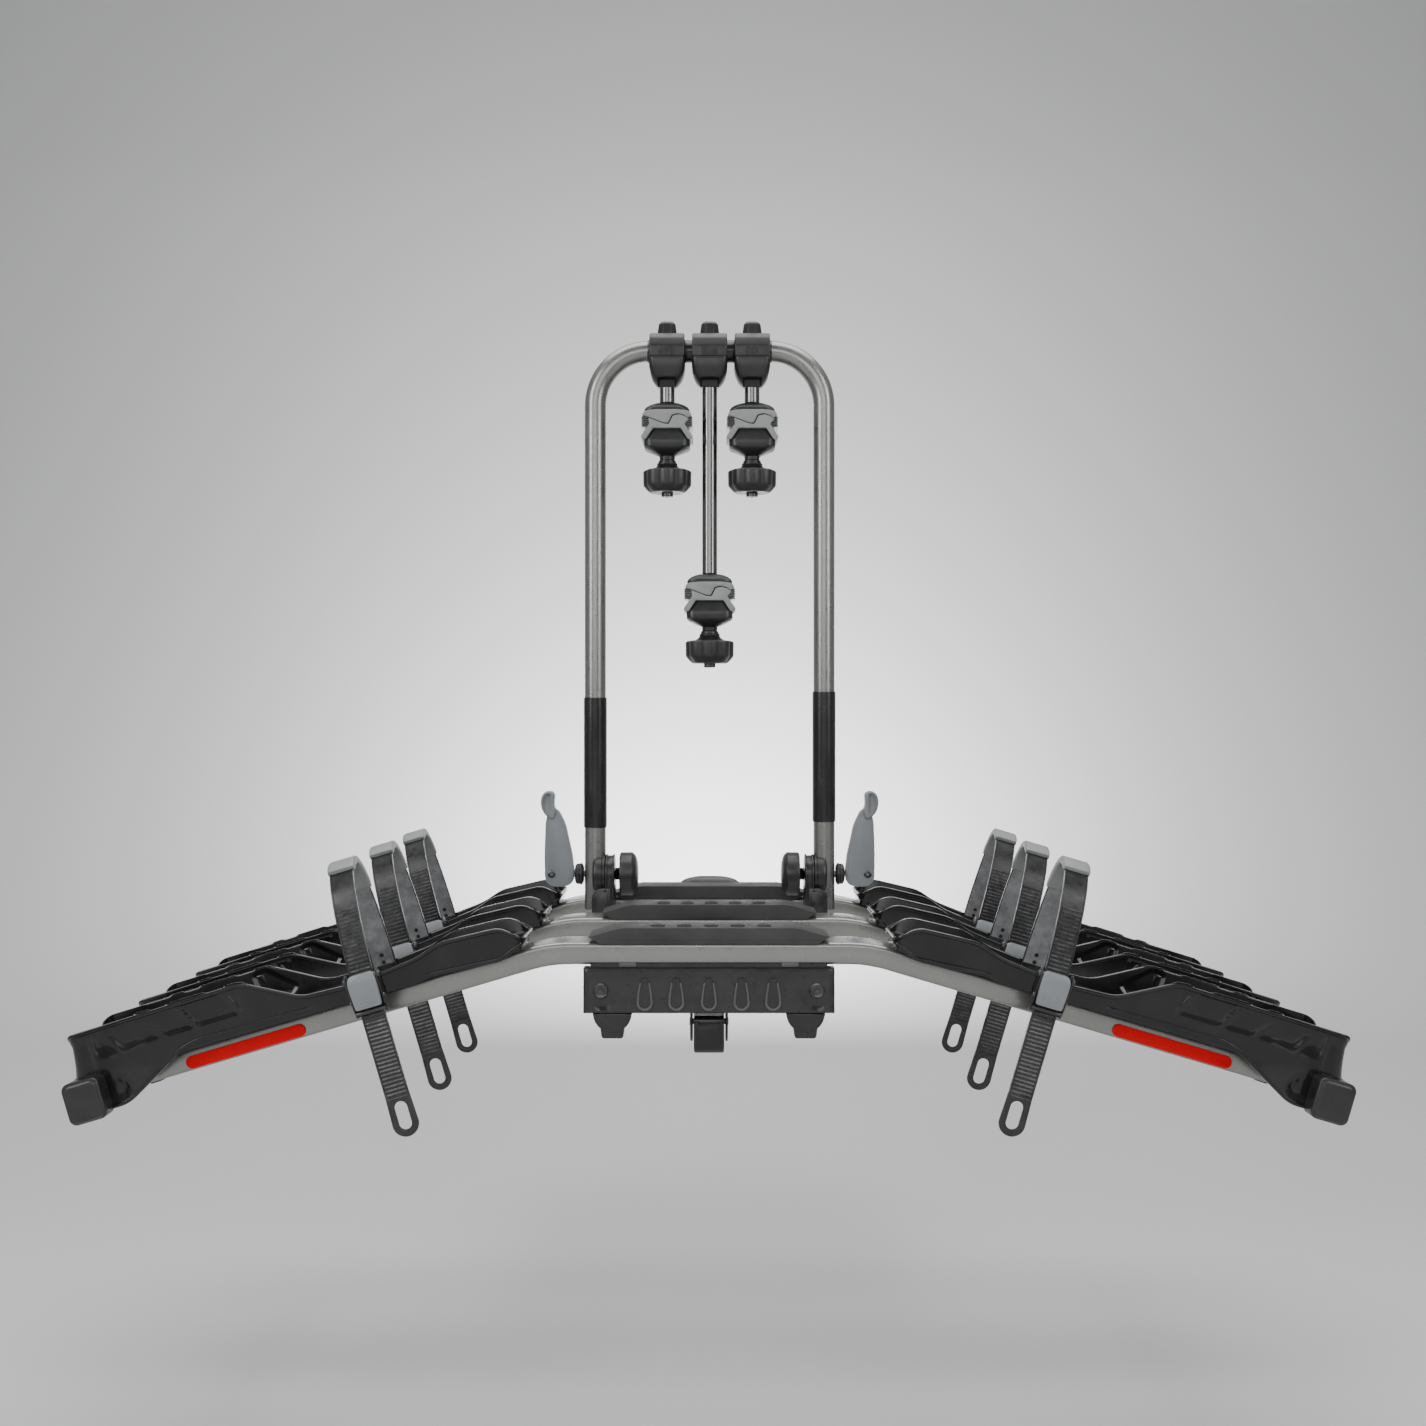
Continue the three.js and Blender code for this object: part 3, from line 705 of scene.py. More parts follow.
def grip_mark(x, y, z):
    """A small raised lozenge with a dished middle."""
    outline = rounded_rectangle(14, 10, 4, 4)
    inner = rounded_rectangle(9.5, 6, 2.4, 4)
    sections = [[Vector((x + a * s, y + b * s, z + h)) for a, b in ring]
                for ring, s, h in ((outline, 1, -1), (outline, 1, 1.2), (outline, 0.9, 1.9),
                                   (inner, 1, 1.9), (inner, 0.9, 0.6))]
    return loft("mark", sections)


def cover_shell(name, y, marks):
    """A lid over the rail: sloped ends that run out to points, a crowned top and short side lips."""
    foot = RAIL_TOP + 0.2
    top = node_box(f"centre_cover_{name}")[1].z
    tip_z = foot + 5
    outline = [(-108, foot), (108, foot), (119, tip_z), (92, top - 1.2), (84, top), (-84, top),
               (-92, top - 1.2), (-119, tip_z)]
    body = slab("body", outline, "xz", y - 25.5, y + 25.5)
    lip = [(-106, foot - 2.4), (106, foot - 2.4), (113, foot + 2), (-113, foot + 2)]
    edges = ((y - 26.3, y - 25.2), (y + 25.2, y + 26.3))
    cover = joined(body, *[slab("lip", lip, "xz", start, end) for start, end in edges])
    soften(cover, 2.2, 3, 25)
    pieces = [cover]
    if marks:
        pieces += [grip_mark(26.5 * i + 2, y - 8, top - 0.2) for i in range(-2, 3)]
    return merged(f"centre_cover_{name}_lid", pieces)


def build_covers():
    for row in ROWS:
        cover = cover_shell(row, ROW_Y[row], row != "front")
        fit(smooth(cover), "platform", COVER, [f"centre_cover_{row}"])


def build_reflectors():
    """Long red strips with round ends on the face of the rear rail."""
    length, height, thickness = 122, 12.5, 2
    for name, side in SIDES.items():
        outline = rounded_rectangle(length, height, 6, 8)
        middle = Vector((311, ROW_Y["rear"] - RAIL_DEPTH / 2, -2.6))
        sections = [[middle + Vector((a * s, -depth, b * s)) for a, b in outline]
                    for depth, s in ((-0.5, 1), (thickness - 0.6, 1), (thickness, 0.985))]
        strip = moved(loft(f"reflector_{name}", sections), arm_matrix(side, None))
        fit(smooth(strip), "platform", RED)


# ---- mast ------------------------------------------------------------------------------
MAST_RADIUS = 12.7
MAST_BEND = 65
SLEEVE_HEIGHTS = {"left": (137, 293), "right": (144, 300)}


def build_mast():
    low, high = node_box("mast")
    leg = high.x - MAST_RADIUS
    top = high.z - MAST_RADIUS
    corner = arc((leg - MAST_BEND, top - MAST_BEND), MAST_BEND, 0, 90, 20)
    half = [(leg, low.z)] + corner
    path = half + [(-x, z) for x, z in reversed(half)]
    points = [Vector((x, MAST_PIVOT.y, z)) for x, z in path]
    tube = sweep("mast_tube", points, circle(MAST_RADIUS, 40), Vector((0, 1, 0)))
    fit(smooth(tube), "mast", SILVER, ["mast"])
    for name, side in SIDES.items():
        start, end = SLEEVE_HEIGHTS[name]
        profile = [(MAST_RADIUS - 0.5, start), (13.4, start), (13.9, start + 0.7), (13.9, end - 0.7),
                   (13.4, end), (MAST_RADIUS - 0.5, end)]
        sleeve = turned(f"mast_sleeve_{name}", profile, (0, 0, 1), (side * leg, MAST_PIVOT.y, 0))
        fit(smooth(sleeve), "mast", SLEEVE)


build_rails()
build_cross_tubes()
build_caps()
build_covers()
build_reflectors()
build_mast()


# ---- wheel trays -----------------------------------------------------------------------
# Distances are along the arm (u), across it (y) and square up from it (v).
TRAY_INNER = 18
TRAY_OUTER = 478
TRAY_FLOOR = 14.3
TRAY_UNDER = 11.4
TRAY_WALL = 3
NOTCH = 442                      # past here the wall clears the cross tube
STRAP_ALONG = 174
SIDE_LEAN = 0.13                 # the long walls open upwards
END_LEAN = 0.3                   # the end wall closes upwards


def ease(value):
    """0 to 1 and level at both ends."""
    t = min(max(value, 0), 1)
    return t * t * (3 - 2 * t)


def window(value, low, high, soft):
    """1 between low and high, easing to 0 over the soft distance inside each end."""
    return ease((value - low) / soft) * ease((high - value) / soft)


def height_line(points, radius, steps=4):
    """A height as a function of the distance along: straight runs with rounded corners."""
    rounded = rounded_outline(points, radius, steps)
    line = [points[0]] + rounded[steps + 1:-steps - 1] + [points[-1]]

    def height(along):
        for (start, low), (end, high) in zip(line, line[1:]):
            if along <= end:
                return low + (high - low) * max(along - start, 0) / (end - start)
        return line[-1][1]
    return height


tray_top = height_line([(18, 23), (36, 40), (97, 43.5), (121, 35.5), (187, 29), (237, 31.5), (290, 61),
                        (452, 59), (480, 59)], 9)
tray_bead = height_line([(18, 20), (43, 9.5), (112, 15), (235, 17.5), (350, 19), (368, 14),
                         (426, -19), (450, -19)], 8)
tray_drop = height_line([(18, 2.5), (112, 3), (130, 5), (350, 6), (370, 2), (450, 2)], 4)
tray_half = height_line([(18, 41), (112, 41), (168, 50), (230, 50), (290, 52.5), (480, 52.5)], 10)


def outside_of(polygon, u, v):
    """Signed distance from a polygon's edge, negative inside it."""
    point = Vector((u, v))
    nearest = math.inf
    inside = False
    for i, corner in enumerate(polygon):
        start = Vector(polygon[i - 1])
        run = Vector(corner) - start
        t = min(max((point - start).dot(run) / run.length_squared, 0), 1)
        nearest = min(nearest, (start + run * t - point).length)
        if (start.y > v) != (corner[1] > v) and u < start.x + run.x * (v - start.y) / run.y:
            inside = not inside
    return -nearest if inside else nearest


# Each crease runs down and inwards, from its place under the rim to its foot.
CREASES = ((310, 299), (357, 345), (403, 377), (438, 420))
CREASE_FOOT = 31
LOOP = [(446, 4), (428, 1), (423, -5), (428, -11), (446, -14)]
DIP_RECESS = [(306, 54), (297, 57), (270, 34), (274, 30.5), (303, 33)]


def outer_relief(u, v):
    """How far the wall's outer face is sunk: a creased upper panel, a loop and the corner."""
    rise = max(v - CREASE_FOOT, 0) / 23
    crease = max(ease(1.25 - abs(u - low - (top - low) * rise ** 1.6) / 3.2) for top, low in CREASES)
    panel = ease((v - CREASE_FOOT) / 4) * window(u, 292, 445, 8) * (1 - crease)
    loop = ease(0.5 - (outside_of(LOOP, u, v) - 2) / 1.6) if u > 410 and v < 10 else 0
    corner = ease((u - 446) / 2.5) * window(v, 12, 52, 4)
    return 1.7 * panel + 2.2 * loop + 1.6 * corner


def inner_relief(u, v):
    """How far the wall's inner face is sunk: one rounded recess beside the dip."""
    if not 255 < u < 325:
        return 0
    return 1.5 * ease(0.5 - (outside_of(DIP_RECESS, u, v) - 2.5) / 1.8)


def rim_lobe(u):
    """Three long low lobes along the rim's inner edge."""
    return 1.7 * sum(window(u, low, high, 5) for low, high in ((284, 309), (324, 368), (380, 400)))


def tray_ring(u, wall_rows=15):
    """A wall's section at a distance along the arm, as (outwards, up) pairs."""
    top = tray_top(u)
    beyond = u > NOTCH
    bottom = TRAY_UNDER if beyond else tray_bead(u) - tray_drop(u)
    bead = TRAY_UNDER + 2.5 if beyond else tray_bead(u)
    bead_out = 0 if beyond else 1.8 * (ease((120 - u) / 8) + ease((u - 228) / 8))
    half_bead = min(2, 0.12 * (top - bottom))
    rim = min(4.2, 0.35 * (top - bottom))
    lobe = rim_lobe(u)
    fillet = min(8, 0.5 * (top - TRAY_FLOOR))

    ring = [(-0.4, bottom), (0, bottom + 0.4), (0, bead - half_bead),
            (bead_out * 0.85, bead - half_bead + 0.3), (bead_out, bead - half_bead + 0.7),
            (bead_out, bead + half_bead - 0.7),
            (bead_out * 0.85, bead + half_bead - 0.3), (0, bead + half_bead)]
    start = bead + half_bead + 0.4
    for row in range(wall_rows + 1):
        v = start + (top - rim - start) * row / wall_rows
        ring.append((-outer_relief(u, v) * ease((top - rim - v) / 2), v))
    ring += [(1.4, top - rim + 0.3), (2.3, top - rim + 0.9), (2.5, top - rim * 0.3), (2.1, top - 0.3),
             (1.2, top), (-1.2, top), (-1.6, top + lobe), (-2.6, top + lobe), (-TRAY_WALL, top - 0.5)]
    for row in range(wall_rows + 1):
        v = top - 1.5 + (TRAY_FLOOR + fillet - top + 1.5) * row / wall_rows
        ring.append((-TRAY_WALL + inner_relief(u, v), v))
    ring += [(-TRAY_WALL - 4 * (1 - math.cos(turn)) ** 1.2 - 1.2 * math.sin(turn),
              TRAY_FLOOR + fillet * (1 - math.sin(turn)))
             for turn in (0.35, 0.7, 1.05, 1.35)]
    ring += [(-11, TRAY_FLOOR - 0.4), (-12, TRAY_FLOOR - 1), (-12, TRAY_UNDER),
             (-TRAY_WALL - 0.2, TRAY_UNDER), (-TRAY_WALL + 0.1, min(bottom + 0.6, TRAY_UNDER)),
             (-TRAY_WALL + 0.5, bottom)]
    return ring


def tray_plan():
    """Half of the tray's outline: inner end, near wall, rounded corner, outer end."""
    inner_radius = 10
    outer_radius = 20
    first = tray_half(TRAY_INNER)
    last = tray_half(TRAY_OUTER)
    plan = [(TRAY_INNER, 0), (TRAY_INNER, -first / 2)]
    plan += arc((TRAY_INNER + inner_radius, -first + inner_radius), inner_radius, 180, 270, 6)
    along = TRAY_INNER + inner_radius + 2.5
    while along < TRAY_OUTER - outer_radius - 1:
        plan.append((along, -tray_half(along)))
        along += 1.7 if 262 < along < 312 or 418 < along < 450 else 2.7
    plan += [(NOTCH - 0.3, -last), (NOTCH + 0.3, -last)]
    plan.sort(key=lambda place: place[0])
    plan = [place for place in plan if place[1] or place[0] == TRAY_INNER]
    plan += arc((TRAY_OUTER - outer_radius, -last + outer_radius), outer_radius, -90, 0, 10)
    plan += [(TRAY_OUTER, -last * share) for share in (0.4, 0.2, 0)]
    return plan


def tray_walls():
    half = tray_plan()
    plan = half + [(u, -y) for u, y in reversed(half[1:-1])]
    sections = []
    for i, place in enumerate(plan):
        here = Vector(place)
        run = Vector(plan[(i + 1) % len(plan)]) - Vector(plan[i - 1])
        outwards = Vector((run.y, -run.x)).normalized()
        end = max(outwards.x, 0) ** 2
        top = tray_top(here.x)
        upright = (1 - end) * ease((NOTCH - 4 - here.x) / 50)
        section = []
        for n, v in tray_ring(min(here.x, TRAY_OUTER)):
            v -= 8 * end * ease((v - TRAY_FLOOR) / 45)
            if n > 0 and v > CREASE_FOOT:
                n *= 1 - 0.9 * end
            lean = SIDE_LEAN * upright * (max(v, TRAY_UNDER) - top) - END_LEAN * end * (v - TRAY_UNDER)
            spot = here + outwards * (n + lean)
            section.append(Vector((spot.x, spot.y, v)))
        sections.append(section)
    sections.append(sections[0])
    walls = loft("walls", sections, capped=False)
    return edit(walls, lambda bm: bmesh.ops.remove_doubles(bm, verts=bm.verts, dist=1e-6))


def tray_floor():
    """The floor, with three long ribs and a dip between them."""
    def level(y, half):
        ribs = sum(window(y, rib - 3, rib + 3, 1.5) for rib in (-18, 0, 18))
        return TRAY_FLOOR - 0.6 + 0.9 * ribs + 1.2 * (y / half) ** 2

    stations = [TRAY_INNER + 6 + 446 * i / 60 for i in range(61)]
    sections = []
    for u in stations:
        half = tray_half(u) - 10.5
        across = [half * (2 * i / 44 - 1) for i in range(45)]
        upper = [Vector((u, y, level(y, half))) for y in across]
        lower = [Vector((u, half * side, TRAY_UNDER + 0.2)) for side in (1, -1)]
        sections.append(upper + lower)
    return loft("floor", sections)


def each_arm(pattern, label, body, look, node=None, angle=34):
    """Copies a pattern, drawn on one arm, to all six. The names hold {row} and {side}."""
    places = [({"row": row, "side": name}, arm_matrix(side, row))
              for name, side in SIDES.items() for row in ROWS]
    fit_copies(pattern, places, label, body, look, node, angle)


def build_trays():
    pattern = merged("tray_pattern", [tray_walls(), tray_floor()])
    each_arm(pattern, "tray_{row}_{side}_shell", "platform", TRAY, "tray_{row}_{side}", 38)


build_trays()


# ---- wheel straps and their buckles ----------------------------------------------------
STRAP_WIDTH = 24
TAIL_Y = -55.5
TAIL_LOW = -127
ARCH_FOOT = 21
ARCH_NEAR = 55.5
ARCH_FAR = 44
ARCH_HEIGHT = 119.5
TOOTH_PITCH = 4


def arch_point(angle):
    """A point of the strap's centre line over the tray; 180 degrees is the near foot, 0 the far one."""
    turn = math.radians(angle)
    reach = ARCH_NEAR if angle > 90 else ARCH_FAR
    return Vector((STRAP_ALONG, reach * math.cos(turn), ARCH_FOOT + ARCH_HEIGHT * math.sin(turn)))


def strap_path():
    tail = [Vector((STRAP_ALONG, TAIL_Y, v)) for v in (TAIL_LOW + 37, 0)]
    return tail + [arch_point(180 - 5 * i) for i in range(37)]


def walk(path, pitch, start, end):
    """Places and directions at equal steps along a path."""
    travelled = 0
    wanted = start
    for before, after in zip(path, path[1:]):
        run = after - before
        while wanted <= travelled + run.length and wanted < end:
            yield before + run * ((wanted - travelled) / run.length), run.normalized()
            wanted += pitch
        travelled += run.length


def strap_teeth(path):
    """Ratchet teeth across the outer face, from the slot to high on the near side."""
    across = Vector((1, 0, 0))
    ridge = ((0, 0.5), (0.3, 1.65), (0.9, 1.75), (3, 0.5))
    teeth = []
    for place, run in walk(path, TOOTH_PITCH, 1, 192):
        up = across.cross(run)
        sections = [[place + across * a + run * b + up * c for b, c in ridge] for a in (-9.8, 9.8)]
        teeth.append(loft("tooth", sections))
    return teeth


def strap_end():
    """The tail's rounded end with its finger slot."""
    centre_v = TAIL_LOW + 13
    outline = arc((STRAP_ALONG, centre_v), 13, 180, 360, 20)
    outline += [(STRAP_ALONG + 12, TAIL_LOW + 43), (STRAP_ALONG - 12, TAIL_LOW + 43)]
    end = slab("end", outline, "xz", TAIL_Y - 1.5, TAIL_Y + 1.4)
    hole = shifted(rounded_rectangle(12.4, 28, 6.2, 10), STRAP_ALONG, centre_v + 8)
    carved(end, slab("slot", hole, "xz", TAIL_Y - 5, TAIL_Y + 5))
    return soften(end, 0.7, 2, 50)


def build_straps():
    half = STRAP_WIDTH / 2
    section = [(-half, -1.2), (-half + 0.4, -1.5), (half - 0.4, -1.5), (half, -1.2), (half, 1.2),
               (half - 0.5, 1.6), (half - 1.7, 1.6), (half - 2, 1), (2 - half, 1), (1.7 - half, 1.6),
               (0.5 - half, 1.6), (-half, 1.2)]
    path = strap_path()
    band = sweep("band", path, section, Vector((1, 0, 0)))
    strap = merged("strap", [band, strap_end()] + strap_teeth(path))
    each_arm(strap, "strap_{row}_{side}_band", "platform", STRAP, "strap_{row}_{side}", 30)


def build_strap_reflection_sheets():
    """A smooth pale sheet on each loop's inner face, a painted reflection of the light there, with two small
    holes above its far foot.
    """
    section = [(-11, -2), (11, -2), (11, -1.4), (-11, -1.4)]
    path = [arch_point(176 - 4 * i) for i in range(44)]
    reflection_sheet = sweep("reflection_sheet", path, section, Vector((1, 0, 0)))
    holes = []
    for angle in (9, 5.3):
        centre = arch_point(angle)
        holes.append(turned("hole", [(0, -5), (2.2, -5), (2.2, 4), (0, 4)], (0, 1, 0.12), centre, 20))
    carved(reflection_sheet, *holes)
    each_arm(reflection_sheet, "strap_lining_{row}_{side}", "platform", STRAP_REFLECTION, angle=30)


def build_strap_pads():
    """Rubber pads on top of the loops, slightly crowned and drawn in at both ends."""
    across = Vector((1, 0, 0))
    width = 27.6
    thickness = 8.2
    narrowing = (0.9, 0.2, 0)
    thinning = (1.4, 0.5, 0)
    last = 20
    path = [arch_point(109 - 3 * i) for i in range(last + 1)]
    pad = []
    for i, place in enumerate(path):
        run = (path[min(i + 1, last)] - path[max(i - 1, 0)]).normalized()
        up = across.cross(run)
        from_end = min(i, last - i, 2)
        crown = 0.5 * math.sin(math.pi * i / last)
        ring = rounded_rectangle(width - narrowing[from_end], thickness - thinning[from_end] + crown, 2.3, 5)
        pad.append([place + across * a + up * (b + 1.5 + crown / 2) for a, b in ring])
    each_arm(loft("pad", pad), "strap_pad_{row}_{side}", "platform", PAD)


BUCKLE_PIVOT = Vector((STRAP_ALONG, -61.8, 33))


def buckle_lever():
    """A grey thumb lever: a thick round head at the hinge and a blade that thins to its lip."""
    face_y = -66.3
    levels = ((37.4, 16, 3.6), (36.9, 20.5, 5.6), (35.8, 24, 7.2), (33.8, 26.8, 8.2), (31, 28, 8.6),
              (27, 28.3, 8.2), (21, 28, 6.6), (13, 27.2, 5.4), (7.5, 26.6, 5.2), (5.2, 26.2, 5.4),
              (4.3, 25.4, 4.6), (3.9, 23.8, 3))
    sections = []
    for v, wide, deep in levels:
        bow = 0.7 * math.sin(math.pi * (v - 4) / 33)
        head = max(deep - 8.6 + 3, 0) * 0.25 if v > 31 else 0
        start = face_y - bow + (8.6 - deep) * (0.5 if v > 31 else 0) + head
        ring = rounded_rectangle(wide, deep, min(1.7, deep * 0.42), 4)
        sections.append([Vector((STRAP_ALONG + a, start + deep / 2 + b, v)) for a, b in ring])
    lever = loft("lever", sections)
    bar = rounded_rectangle(17, 1.1, 0.5, 2)
    grips = [slab("grip", shifted(bar, STRAP_ALONG, 8 + 2.6 * i), "xz", face_y - 0.75, face_y + 1)
             for i in range(3)]
    return merged("lever_and_grips", [lever] + grips)


def buckle_frame():
    """A black frame round the strap: two tapered cheeks and a plate against the tray."""
    cheek = [(-51, 24), (-52, 35.5), (-58, 39.5), (-64.6, 37.5), (-66, 31), (-63.4, 18), (-61, 5),
             (-58.5, -2), (-54.5, -5.5), (-51, -3)]
    shape = rounded_outline(cheek, 3, 3)
    pieces = [slab("cheek", shape, "yz", STRAP_ALONG + low, STRAP_ALONG + low + 1.8)
              for low in (-16.3, 14.5)]
    pieces.append(slab("back", [(STRAP_ALONG + a, b) for a, b in ((-16, -4), (16, -4), (16, 24), (-16, 24))],
                       "xz", -53.7, -51))
    pieces.append(slab("bridge", [(-63.5, -1.5), (-58.2, -1.5), (-58.2, 1.6), (-62.6, 1.6)], "yz",
                       STRAP_ALONG - 15, STRAP_ALONG + 15))
    for piece in pieces:
        soften(piece, 0.5, 2, 40)
    return merged("frame", pieces)


def buckle_pins():
    """Domed pin heads on both cheeks."""
    head = [(0, 3), (1.8, 2.8), (2.8, 2), (3.2, 0.8), (3.2, 0), (0, 0)]
    pieces = []
    for side in (-1, 1):
        for y, v, shrink in ((BUCKLE_PIVOT.y, BUCKLE_PIVOT.z, 1), (-60.4, 12, 0.62)):
            profile = [(r * shrink, h * shrink - 0.3) for r, h in head]
            pieces.append(turned("pin", profile, (side, 0, 0), (STRAP_ALONG + side * 16.3, y, v), 24))
    return merged("pins", pieces)


def build_buckles():
    each_arm(buckle_lever(), "buckle_{row}_{side}_lever", "buckle_{row}_{side}", GREY,
             "buckle_{row}_{side}", 32)
    each_arm(buckle_frame(), "buckle_frame_{row}_{side}", "platform", BLACK)
    each_arm(buckle_pins(), "buckle_pins_{row}_{side}", "platform", DARK_STEEL)


build_straps()
build_strap_reflection_sheets()
build_strap_pads()
build_buckles()


# ---- mast brackets and quick releases --------------------------------------------------
def pair(pattern, label, body, look, node=None, angle=34):
    """Copies a pattern, drawn on the right, to both sides. The names hold {side}."""
    places = [({"side": name}, Matrix.Diagonal((side, 1, 1, 1))) for name, side in SIDES.items()]
    fit_copies(pattern, places, label, body, look, node, angle)


def lip_outline(left, bottom, right, top, radius):
    corner = arc((right - radius, top - radius), radius, 0, 90, 8)
    return [(left, bottom), (right, bottom)] + corner + [(left, top)]


def build_brackets():
    """A web with two proud rims round its arch, a lip in front of the leg and a bolted foot."""
    low, high = node_box("mast_bracket_right")
    front = ROW_Y["front"] - RAIL_DEPTH / 2 - 0.4
    y, z = MAST_PIVOT.y, MAST_PIVOT.z

    def arch(radius):
        side = [(y - radius, low.z), (front, low.z), (front, RAIL_TOP)]
        return side + arc((y, z), radius, 0, 180, 28)

    web = [slab("web", arch(22.4), "yz", low.x + 0.3, 124)]
    web += [slab("rim", arch(24), "yz", start, start + 1.9) for start in (low.x, 122.4)]
    lip = slab("lip", lip_outline(118, low.z, high.x, 66, 12), "xz", low.y, low.y + 4)
    rim = slab("lip_rim", lip_outline(121, low.z + 3, high.x - 4, 62, 8), "xz", low.y - 0.9, low.y + 1)
    gusset = slab("gusset", [(y - 24, low.z), (y - 14, low.z), (y - 20, 64), (y - 24, 64)], "yz", 122.5, 126)
    for piece in web + [lip, rim, gusset]:
        soften(piece, 0.6, 2, 40)
    pair(merged("bracket", web + [lip, rim, gusset]), "mast_bracket_{side}_plate", "platform",
         BLACK_PAINT, "mast_bracket_{side}")
    bolts = [turned("bolt", [(0, 1.9), (5.2, 1.9), (6, 1.2), (6, -0.6), (0, -0.6)], (-1, 0, 0),
                    (low.x, place_y, 38), 6) for place_y in (y + 10, y + 24)]
    pair(soften(merged("bolts", bolts), 0.4), "bracket_bolts_{side}", "platform", DARK_STEEL)


def build_hubs():
    """A hinge hub round each leg's pivot, that turns with the mast inside the bracket's lip."""
    start = node_box("mast_bracket_right")[1].x - 15.4
    profile = [(4.4, start), (22.6, start), (23.7, start + 0.9), (23.7, start + 3), (22.8, start + 3.4),
               (22.8, start + 4.2), (23.7, start + 4.6), (23.7, start + 10.5), (22.6, start + 13.4),
               (19.6, start + 15), (18, start + 14.2), (16.6, start + 15.2), (4.4, start + 15.2)]
    profile.append(profile[0])
    hub = turned("hub", profile, (1, 0, 0), (0, MAST_PIVOT.y, MAST_PIVOT.z), 64)
    pair(hub, "mast_hub_{side}", "mast", BLACK, angle=28)


def build_mast_knobs():
    """A smooth round hand knob with a crowned cap, on a threaded stem."""
    low, high = node_box("mast_knob_right")
    profile = [(0, low.x), (8, low.x + 0.2), (15, low.x + 1.1), (20.5, low.x + 2.6), (23.6, low.x + 4.4),
               (24.4, low.x + 5.2), (24.2, low.x + 5.9), (25.2, low.x + 6.3), (26, low.x + 7.6),
               (26, low.x + 20), (25.4, low.x + 21.6), (23.5, low.x + 22.3), (9, low.x + 22.3)]
    ridges = [(7.6 - 0.7 * (i % 2), low.x + 22.4 + 0.55 * i) for i in range(11)]
    profile += ridges + [(4.6, high.x), (4.6, low.x + 13), (0, low.x + 13)]
    knob = turned("knob", profile, (1, 0, 0), (0, MAST_PIVOT.y, MAST_PIVOT.z), 72)
    pair(knob, "mast_knob_{side}_grip", "mast_knob_{side}", BLACK, "mast_knob_{side}", 28)


def build_quick_releases():
    low, high = node_box("quick_release_shaft_right")
    centre = (0, MAST_PIVOT.y, MAST_PIVOT.z)
    shaft = [(0, low.x), (3.6, low.x), (4, low.x + 0.6), (4, high.x - 1), (0, high.x - 1)]
    pair(turned("shaft", shaft, (1, 0, 0), centre, 28), "quick_release_shaft_{side}_pin", "platform",
         DARK_STEEL, "quick_release_shaft_{side}")
    start = high.x - 9.4
    barrel = [(4, start), (8.6, start), (10.4, start + 0.5), (12.4, start + 1.9), (13.2, start + 3.2),
              (13.2, start + 4.4), (12, start + 5), (12.4, start + 5.6), (12.4, start + 8.2),
              (10.6, start + 10), (7.6, start + 10.8), (4, start + 10.8)]
    pair(turned("barrel", barrel, (1, 0, 0), centre, 40), "quick_release_barrel_{side}", "platform",
         BLACK)


def build_cam_levers():
    """A flat blade with a stepped edge, a curled thumb tab and a hinge screw."""
    y, z = MAST_PIVOT.y, MAST_PIVOT.z
    blade = rounded_outline([(164.7, 70.5), (172, 66), (189.5, 66), (197.7, 72.8), (198.2, 106),
                             (196.8, 146), (192, 160), (182, 159), (173, 141), (164.7, 103.4),
                             (162.2, 80)], 7, 5)
    inner = rounded_outline([(167.5, 72.5), (173, 69), (188.5, 69), (195, 74.5), (195.6, 106),
                             (194, 143), (190, 152), (184, 152), (175.5, 138), (167.8, 103),
                             (165.2, 81)], 6, 5)
    body = soften(slab("body", blade, "xz", y - 6.4, y + 6.4), 1.1, 3, 40)
    face = soften(slab("face", inner, "xz", y - 7, y + 7), 0.5, 2, 40)
    spoon = [(187, 146), (194, 149), (200.2, 156), (202.8, 166), (201.6, 175), (196.6, 180.6),
             (190, 180.6), (185.6, 176.6), (186.6, 170), (186.6, 162), (183.6, 156)]
    bowl = [(191, 153.4), (197.4, 157), (200, 166), (199, 174), (195.4, 178), (191, 177.8),
            (189.6, 175), (190.4, 170), (190.2, 162)]
    tab = soften(slab("tab", rounded_outline(spoon, 4, 5), "xz", y - 10, y + 10), 2.6, 4, 40)
    dish = slab("dish", rounded_outline(bowl, 3, 4), "xz", y - 14, y - 7)
    tab = soften(carved(tab, dish), 0.5, 2, 50)
    lever = merged("lever", [body, face, tab])
    pair(lever, "quick_release_lever_{side}_blade", "lever_{side}", GREY,
         "quick_release_lever_{side}", 30)
    head = [(0, 6.6), (1.9, 6.6), (2.1, 8), (3.9, 8), (4.6, 7.6), (4.6, 6.2), (0, 6.2)]
    screws = [turned("screw", head, (0, facing, 0), (189.5, y, z), 28) for facing in (-1, 1)]
    pair(merged("screws", screws), "lever_screws_{side}", "lever_{side}", DARK_STEEL)


build_brackets()
build_hubs()
build_mast_knobs()
build_quick_releases()
build_cam_levers()


# ---- hanging arms ----------------------------------------------------------------------
BAR_Z = node_box("mast")[1].z - MAST_RADIUS


def each_hanger(pattern, label, body, look, node=None, drops=None, angle=34):
    """Copies a pattern, drawn about x = 0, to the three arms. The names hold {arm}."""
    places = [({"arm": arm}, Matrix.Translation((node_middle(f"arm_head_{arm}").x, 0,
                                                 drops[arm] if drops else 0))) for arm in ARMS]
    fit_copies(pattern, places, label, body, look, node, angle)


